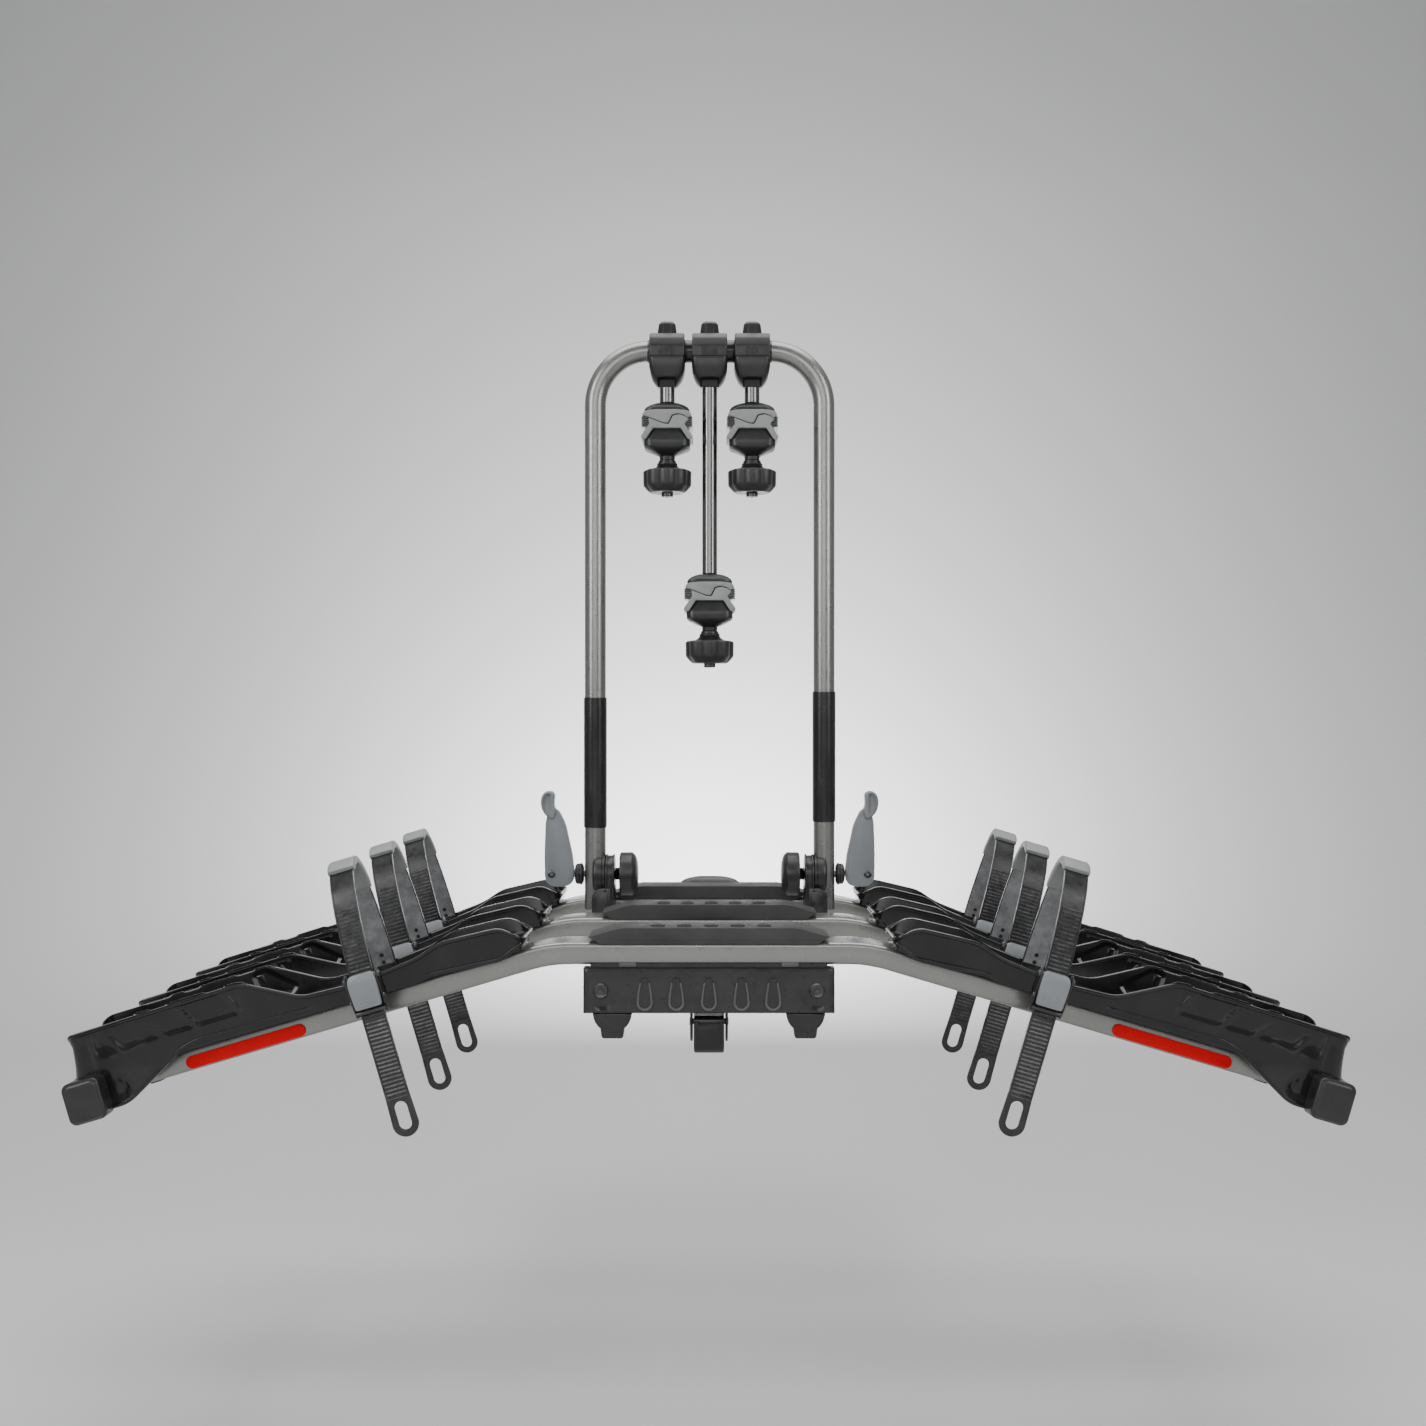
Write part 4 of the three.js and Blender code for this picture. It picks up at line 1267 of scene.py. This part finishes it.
def ribbed_band(high, low, half_width):
    """The head's middle band: fine upright ribs round the bar."""
    y = MAST_PIVOT.y
    ribs = 9
    outline = []
    for i in range(ribs * 2 + 1):
        across = half_width * (2 * i / (ribs * 2) - 1)
        outline.append((across, 24.8 if i % 2 else 24))
    front = [(a, y - d) for a, d in outline]
    back = [(a, y + d) for a, d in reversed(outline)]
    return slab("band", front + back, "xy", low, high)


def build_arm_heads():
    """A split clamp block round the bar, with a seam, a ribbed band, a notched foot and a faceted cap."""
    low, high = node_box("arm_head_left")
    y = MAST_PIVOT.y
    crown = high.z - 15.6
    side = [(y + 24, BAR_Z - 10.5), (y + 24, BAR_Z + 3), (y + 20, BAR_Z + 13), (y + 14, crown),
            (y - 14, crown), (y - 20, BAR_Z + 13), (y - 24, BAR_Z + 3), (y - 24, BAR_Z - 10.5)]
    upper = soften(slab("upper", side, "yz", -20.9, 20.9), 1.8, 3, 15)
    rings = [(BAR_Z - 11, 42.4, 49, 5), (BAR_Z - 13, 43, 49.4, 6), (BAR_Z - 21, 42.4, 48.4, 8),
             (BAR_Z - 29, 39, 45, 10), (BAR_Z - 36, 33.5, 39, 12), (low.z + 4, 28, 33, 12),
             (low.z + 1, 23, 27, 11)]
    lower = placed(stack("lower", rings, "xy", 6), y=y)
    seam = placed(slab("seam", rounded_rectangle(40, 46, 3), "xy", BAR_Z - 11.4, BAR_Z - 10), y=y)
    notch = placed(slab("notch", rounded_rectangle(22, 24, 4), "xy", low.z - 1, low.z + 10), y=y - 14)
    lower = soften(carved(lower, notch), 0.6, 2, 50)
    band = ribbed_band(BAR_Z + 2, BAR_Z - 9, 10)
    body = merged("head", [upper, seam, lower, band])
    each_hanger(body, "arm_head_{arm}_block", "arm_{arm}", BLACK, "arm_head_{arm}")
    levels = ((crown - 0.6, 23.6), (crown + 1.4, 23.2), (high.z - 3.4, 20.2), (high.z - 2.6, 19.6),
              (high.z, 15))
    corners = [math.radians(22.5 + 45 * i) for i in range(8)]
    corner_reach = 1.08                     # from half the width across the flats to a corner
    cap = loft("cap", [[Vector((w / 2 * math.cos(turn) * corner_reach,
                                y + w / 2 * math.sin(turn) * corner_reach, level))
                        for turn in corners] for level, w in levels])
    each_hanger(soften(cap, 0.5, 2, 20), "arm_cap_{arm}", "arm_{arm}", BLACK)
    head = [(0, 1.6), (1.9, 1.6), (2, 2.7), (3.8, 2.7), (4.6, 2), (4.6, 0), (0, 0)]
    bolts = [turned("bolt", head, (0, 1, 0), (x, y + 23, BAR_Z - 17), 24) for x in (-14, 14)]
    each_hanger(merged("bolts", bolts), "arm_bolts_{arm}", "arm_{arm}", DARK_STEEL)


def build_bar_sleeve():
    """A dark liner on the bar, seen between the heads."""
    reach = node_box("arm_head_right")[1].x + 2.5
    profile = [(MAST_RADIUS - 0.4, -reach), (13.2, -reach), (13.6, -reach + 0.6), (13.6, reach - 0.6),
               (13.2, reach), (MAST_RADIUS - 0.4, reach)]
    sleeve = turned("bar_sleeve", profile, (1, 0, 0), (0, MAST_PIVOT.y, BAR_Z), 40)
    fit(smooth(sleeve), "mast", SLEEVE)


def build_rods():
    for arm in ARMS:
        low, high = node_box(f"arm_rod_{arm}")
        radius = (high.x - low.x) / 2
        centre = ((low.x + high.x) / 2, MAST_PIVOT.y, 0)
        profile = [(0, low.z), (radius - 1, low.z), (radius, low.z + 1), (radius, high.z), (0, high.z)]
        rod = turned(f"arm_rod_{arm}_bar", profile, (0, 0, 1), centre, 40)
        fit(smooth(rod), f"arm_{arm}", ROD, [f"arm_rod_{arm}"])


# ---- frame clamps and their knobs, drawn below the rod's end ---------------------------
JAW_LINE = [(25, -21), (20, -17.5), (13, -15.5), (6, -17.2), (1.6, -26.4), (-1, -27), (-6, -26),
            (-15, -22.5), (-23, -19.5)]
JAW_GAP = Vector((1.1, -1.2))


def at_mast(piece):
    return placed(piece, y=MAST_PIVOT.y)


def jaw(name, outline):
    return at_mast(soften(slab(name, outline, "xz", -23.5, 23.5), 0.9, 3, 28))


def clamp_rings(name, rings):
    return at_mast(stack(name, rings, "xy", 7))


def build_clamps():
    """A domed cap, two pale jaws that meet along an S-shaped split, side teeth and a tapered body."""
    drops = {arm: node_box(f"arm_rod_{arm}")[0].z for arm in ARMS}
    dome = clamp_rings("dome", [(0, 20, 20, 9.5), (-1.3, 34, 30, 14), (-3.6, 44, 38, 15),
                                (-6.6, 51, 43, 13), (-9.6, 54, 45.6, 11), (-12.4, 53.4, 45, 10),
                                (-13.4, 48, 41, 8)])
    shell = clamp_rings("shell", [(-32.6, 36, 34, 8), (-34, 39, 40, 8), (-38, 45, 43, 9),
                                  (-44.5, 54, 45.5, 10), (-46, 55.4, 46.5, 10), (-53.5, 55, 46, 11),
                                  (-56, 51, 43, 13), (-60, 36, 33, 14), (-63, 21, 21, 10.2),
                                  (-64, 18.6, 18.6, 9.1), (-68, 18, 18, 8.9)])
    core = clamp_rings("core", [(-12, 44, 38, 8), (-40, 44, 38, 8)])
    each_hanger(merged("clamp", [dome, shell, core]), "frame_clamp_{arm}_body", "clamp_{arm}",
                BLACK, "frame_clamp_{arm}", drops)
    crown = [(-29.5, -17.5), (-28, -14), (-24, -11.8), (-12, -10.6), (12, -10.6), (24, -11.8),
             (28, -14), (29.5, -17.5)]
    split = [tuple(Vector(point) + JAW_GAP) for point in reversed(JAW_LINE)]
    legs = [(21, -28), (31, -42.5), (30, -46), (25, -46), (16.5, -32.8), (-16.5, -32.8), (-25, -46),
            (-30, -46), (-31, -42.5), (-21, -28)]
    jaws = merged("jaws", [jaw("upper_jaw", crown + JAW_LINE), jaw("lower_jaw", split + legs)])
    each_hanger(jaws, "clamp_jaws_{arm}", "clamp_{arm}", JAW, drops=drops)
    teeth = []
    for side in (-1, 1):
        for i in range(5):
            ring = shifted(rounded_rectangle(9, 1.7, 0.7, 3), side * 26, -19.6 - 2.7 * i)
            teeth.append(at_mast(slab("tooth", ring, "xz", -20, 20)))
    each_hanger(merged("teeth", teeth), "clamp_teeth_{arm}", "clamp_{arm}", SLEEVE,
                drops=drops)


def knob_section(level, radius, lobes, flute):
    """A ring whose edge is cut by shallow flutes."""
    ring = []
    for i in range(lobes * 10):
        angle = 2 * math.pi * i / (lobes * 10)
        share = abs(math.cos(lobes * angle / 2))
        inset = flute * (1 - share) ** 0.8
        ring.append(Vector(((radius - inset) * math.cos(angle), (radius - inset) * math.sin(angle), level)))
    return ring


def build_clamp_knobs():
    drops = {arm: node_box(f"clamp_knob_{arm}")[1].z for arm in ARMS}
    low, high = node_box("clamp_knob_left")
    foot = low.z - high.z
    disc_low = foot + 5
    disc_top = -11.6
    rings = [(disc_top + 0.3, 17, 0), (disc_top, 23.5, 0.8), (disc_top - 0.9, 27.6, 1.8),
             (disc_top - 2.2, 29, 2.4), (disc_low + 10, 28.8, 2.7), (disc_low + 7.6, 28.2, 2.6),
             (disc_low + 2.4, 23.6, 1.5), (disc_low + 0.7, 21.6, 0.8), (disc_low, 20, 0)]
    disc = at_mast(loft("disc", [knob_section(level, radius, 8, flute) for level, radius, flute in rings]))
    collar = turned("collar", [(0, 0), (9.2, 0), (10.4, -0.8), (10.8, -3.4), (12.4, -4), (12.4, -5.2),
                               (12, -5.6), (13.4, -8.2), (16.6, -10.6), (17.4, -11.6), (17.4, -13),
                               (0, -13)], (0, 0, 1), (0, 0, 0), 48)
    each_hanger(merged("knob", [disc, at_mast(collar)]), "clamp_knob_{arm}_grip", "clamp_knob_{arm}",
                BLACK, "clamp_knob_{arm}", drops, 26)
    insert = turned("insert", [(0, disc_low + 0.5), (7, disc_low + 0.5), (7, foot + 0.8), (6.2, foot),
                               (2.4, foot), (2, foot + 1.4), (0, foot + 1.4)], (0, 0, 1), (0, 0, 0), 32)
    each_hanger(at_mast(insert), "knob_lock_{arm}", "clamp_knob_{arm}", DARK_STEEL, drops=drops)


build_arm_heads()
build_bar_sleeve()
build_rods()
build_clamps()
build_clamp_knobs()


# ---- base: rear plate, feet, pedal, handle, spine and shank ----------------------------
RECESSES = (-63, -32, 0, 32, 63)


def pocket_outline(x, half, top, neck):
    """A U shape that widens downwards from its neck."""
    foot = arc((x, -10), half, 180, 360, 10)
    waist = half * 0.86
    return [(x - neck, top), (x - waist, 0)] + foot + [(x + waist, 0), (x + neck, top)]


def build_rear_plate():
    """A folded channel with rolled flanges, a soft bulge, creased corners and five framed pockets."""
    low, high = node_box("rear_plate")
    half = high.x
    rows = [(high.z - 0.2, 22), (high.z, 3.2), (high.z - 0.9, 1.2), (high.z - 2.6, 0.4), (14, 1.7),
            (9, 1.5), (3, 0.5), (-3, 0.2), (-9, 0.6), (-14, 1.4), (low.z + 3, 0.5), (low.z + 1, 1),
            (low.z, 3.2), (low.z + 0.2, 22)]
    columns = [-half, -half + 1.2, -half + 3.5] + list(range(-117, 118, 3)) + [half - 3.5, half - 1.2, half]
    sections = []
    for x in columns:
        turn = 3.2 * max(0, 1 - (half - abs(x)) / 4) ** 2
        section = []
        for z, back in rows:
            fold = 2.2 * window(z, -20, 6, 7) * window(abs(x), 84 - z * 0.7, 106 - z * 0.7, 8)
            depth = back + turn + fold if back < 3 else back
            section.append(Vector((x, low.y + depth, z)))
        sections.append(section)
    skin = loft("skin", sections, closed=False, capped=False)
    sheet = skin.modifiers.new("sheet", "SOLIDIFY")
    sheet.thickness = 2.4 * MM
    sheet.offset = -1
    applied(skin)
    rims = []
    shade_floors = []
    for x in RECESSES:
        # Pocket rims, made a paler grey as a painted highlight along the pocket edges.
        ring = slab("ring", pocket_outline(x, 8, 9.5, 5), "xz", low.y - 1.6, low.y + 2.8)
        hole = slab("hole", pocket_outline(x, 5.8, 11, 3.2), "xz", low.y - 4, low.y + 1.8)
        rims.append(soften(carved(ring, hole), 0.9, 3, 40))
        # Dark floors and top notches inside the pockets: painted shade in the recesses.
        outline = rounded_outline([(x - 2.8, 7.5), (x + 2.8, 7.5), (x + 2.8, 13.5), (x - 2.8, 13.5)], 1, 2)
        shade_floors.append(slab("notch", outline, "xz", low.y - 0.3, low.y + 2.4))
        shade_floors.append(slab("floor", pocket_outline(x, 6, 11, 3.3), "xz", low.y - 0.2, low.y + 2.4))
    fit(smooth(skin), "platform", BLACK_PAINT, ["rear_plate"])
    # The rims' paler grey is a painted highlight.
    fit(smooth(merged("plate_pocket_highlight_rims", rims)), "platform", DARK_GREY)
    # The floors' near-black is painted shade.
    fit(smooth(merged("plate_pocket_shade_floors", shade_floors)), "platform", SLEEVE)


def build_plate_trim():
    """Round-headed plate screws, and the dark bar with its two small blocks above the plate."""
    low = node_box("rear_plate")[0]
    bar_z = 26
    head = [(0, 3), (2.2, 3), (2.6, 1.6), (4.2, 1.6), (6.4, 2.5), (7.6, 0.8), (7.6, -1.6), (0, -1.6)]
    for name, side in SIDES.items():
        screw = turned(f"plate_screw_{name}", head, (0, -1, 0), (side * 106, low.y + 0.6, 1.5), 40)
        fit(smooth(screw), "platform", DARK_STEEL)
        block = shifted(rounded_rectangle(17, 4.6, 1.2, 3), side * 80, bar_z)
        tag = soften(slab(f"bar_block_{name}", block, "xz", low.y + 6, low.y + 12), 0.5)
        fit(smooth(tag), "platform", DARK_GREY)
    outline = rounded_rectangle(234, 7, 2, 4)
    sections = [[Vector((a * s, y, bar_z + b)) for a, b in outline]
                for y, s in ((low.y + 8, 0.995), (low.y + 9, 1), (low.y + 26, 1))]
    fit(smooth(loft("plate_bar", sections)), "platform", SLEEVE)


def build_feet():
    """A half-round boss with a proud rim over a tapered stub."""
    for name in SIDES:
        low, high = node_box(f"foot_{name}")
        x = (low.x + high.x) / 2
        dome = [(x + 19.5, high.z)] + arc((x, high.z), 19, 0, -180, 20)[1:-1] + [(x - 19.5, high.z)]
        stub = [(x + 12.5, high.z - 10), (x + 10.8, low.z + 5), (x + 9.4, low.z + 3), (x - 9.4, low.z + 3),
                (x - 10.8, low.z + 5), (x - 12.5, high.z - 10)]
        rim = [(x + 17, high.z)] + arc((x, high.z), 16.4, 0, -180, 20)[1:-1] + [(x - 17, high.z)]
        pieces = [soften(slab("dome", dome, "xz", low.y + 1, high.y - 1), 1, 3),
                  soften(slab("stub", stub, "xz", low.y + 2.5, high.y - 2.5), 1.2, 3),
                  soften(slab("rim", rim, "xz", low.y, high.y), 0.7, 2)]
        fit(smooth(merged(f"foot_{name}_pad", pieces), 40), "platform", SLEEVE,
            [f"foot_{name}"])


def build_pedal():
    """Two thin cheeks with a cross pin, and the block that a foot presses, with a pad on its face."""
    low, high = node_box("pedal_bracket")
    pivot = joint_place("pedal_press")
    cheek = rounded_outline([(high.y, high.z), (low.y + 2, high.z), (low.y + 2, -30), (pivot.y - 16, -50),
                             (pivot.y - 6, low.z), (pivot.y + 8, low.z), (high.y, -40)], 5, 4)
    pieces = []
    for side in (-1, 1):
        start, end = sorted((side * (high.x - 2.6), side * high.x))
        pieces.append(slab("cheek", cheek, "yz", start, end))
    pieces.append(slab("web", [(-high.x, high.z - 2.6), (high.x, high.z - 2.6), (high.x, high.z),
                               (-high.x, high.z)], "xz", low.y + 2, high.y))
    bracket = soften(merged("pedal_bracket_plates", pieces), 0.5, 2, 40)
    fit(smooth(bracket), "platform", BLACK_PAINT, ["pedal_bracket"])
    pin = [(0, -high.x - 0.8), (3.4, -high.x - 0.8), (4, -high.x - 0.4), (4, -high.x), (3, -high.x),
           (3, high.x), (4, high.x), (4, high.x + 0.4), (3.4, high.x + 0.8), (0, high.x + 0.8)]
    fit(smooth(turned("pedal_pin", pin, (1, 0, 0), (0, pivot.y, pivot.z), 28)), "platform",
        DARK_STEEL)
    low, high = node_box("tilt_pedal")
    outline = rounded_outline([(-744, -27), (-747, -30), (-747, -58), (-740, -64.5), (-716, -64.5),
                               (-700, -46), (-700, -32), (-705, -27)], 3, 3)
    block = soften(slab("block", outline, "yz", low.x + 0.4, high.x - 0.4), 1.8, 3)
    face = shifted(rounded_rectangle(23, 24, 4, 5), 0, -43)
    pad = soften(slab("pad", face, "xz", low.y - 0.6, low.y + 3), 0.5, 2)
    fit(smooth(merged("tilt_pedal_block", [block, pad])), "pedal", TRAY, ["tilt_pedal"])


def build_handle():
    """A domed grey grip with a finger groove, on a flat stem."""
    low, high = node_box("release_handle")
    y = (low.y + high.y) / 2
    levels = [(52, 72, 19, 7), (52.6, 76, 22, 8), (54, 78, 24, 9), (56, 78, 24, 9.5), (56.8, 76.6, 22.8, 9),
              (57.6, 77.4, 23.6, 9.5), (60, 75, 23, 10), (63.5, 66, 20, 9.5), (66, 52, 15, 7),
              (67.6, 34, 9, 4), (high.z, 22, 5, 2.2)]
    grip = placed(stack("grip", levels, "xy", 8), y=y)
    fit(smooth(grip, 40), "handle", DARK_GREY, ["release_handle"])
    stem = slab("release_stem", rounded_rectangle(30, 8, 2, 4), "xy", low.z, 53)
    placed(stem, y=y)
    fit(smooth(stem), "handle", DARK_STEEL)


def build_spine():
    """The spine under the covers, with its two ears at the tilt bolt."""
    width = 50
    height = 40
    top = 25.7
    front_end = -316
    ear_faces = (26, 32)
    profile = shifted(rounded_rectangle(width, height, 5), 0, top - height / 2)
    tube = slab("tube", profile, "xz", node_box("base_spine")[0].y, front_end)
    outline = rounded_outline([(-400, top), (-400, -8), (-380, -22), (-274, -22), (-262, -10), (-262, 10),
                               (-274, top)], 8, 4)
    ears = []
    for side in (-1, 1):
        start, end = sorted(side * face for face in ear_faces)
        ears.append(soften(slab("ear", outline, "yz", start, end), 0.8, 2, 40))
    fit(smooth(merged("base_spine_tube", [tube] + ears)), "platform", BLACK_PAINT,
        ["base_spine"])


def build_shank():
    """A square tube with chamfered ends, a pin hole and a bore that is open at the vehicle's end."""
    low, high = node_box("hitch_shank")
    size = high.z - low.z
    bore_size = 40
    bore_depth = 110
    hole_radius = 7.95
    hole_from_end = 70
    reach = 60
    levels = [(high.y, size - 5, 3), (high.y - 2.5, size, 4.5), (low.y + 2, size, 4.5), (low.y, size - 2, 4)]
    solid = stack("hitch_shank_tube", [(y, w, w, r) for y, w, r in levels], "xz")
    bore = stack("bore", [(y, bore_size, bore_size, 2) for y in (high.y + 5, high.y - bore_depth)], "xz", 3)
    hole = [(0, -reach), (hole_radius, -reach), (hole_radius, reach), (0, reach)]
    pin = turned("pin_hole", hole, (1, 0, 0), (0, high.y - hole_from_end, 0), 40)
    solid = carved(solid, bore, pin)
    fit(smooth(soften(solid, 0.5, 2, 50)), "hitch", BLACK_PAINT, ["hitch_shank"])


def build_tilt_bolt():
    high = node_box("tilt_bolt")[1]
    centre = node_middle("tilt_bolt")
    centre.x = 0
    head = high.x - 7.5
    shaft = turned("shaft", [(0, -head), (6, -head), (6, head), (0, head)], (1, 0, 0), centre, 32)
    ends = []
    for facing in (-1, 1):
        washer = [(0, head - 0.2), (10.4, head - 0.2), (10.4, head + 1), (0, head + 1)]
        ends.append(turned("washer", washer, (facing, 0, 0), centre, 32))
        hexagon = [(0, head + 1), (9.6, head + 1), (9.8, head + 1.4), (9.8, high.x - 1), (8.6, high.x),
                   (0, high.x)]
        ends.append(turned("hexagon", hexagon, (facing, 0, 0), centre, 6))
    fit(smooth(merged("tilt_bolt_set", [shaft] + ends)), "hitch", DARK_STEEL, ["tilt_bolt"])


build_rear_plate()
build_plate_trim()
build_feet()
build_pedal()
build_handle()
build_spine()
build_shank()
build_tilt_bolt()
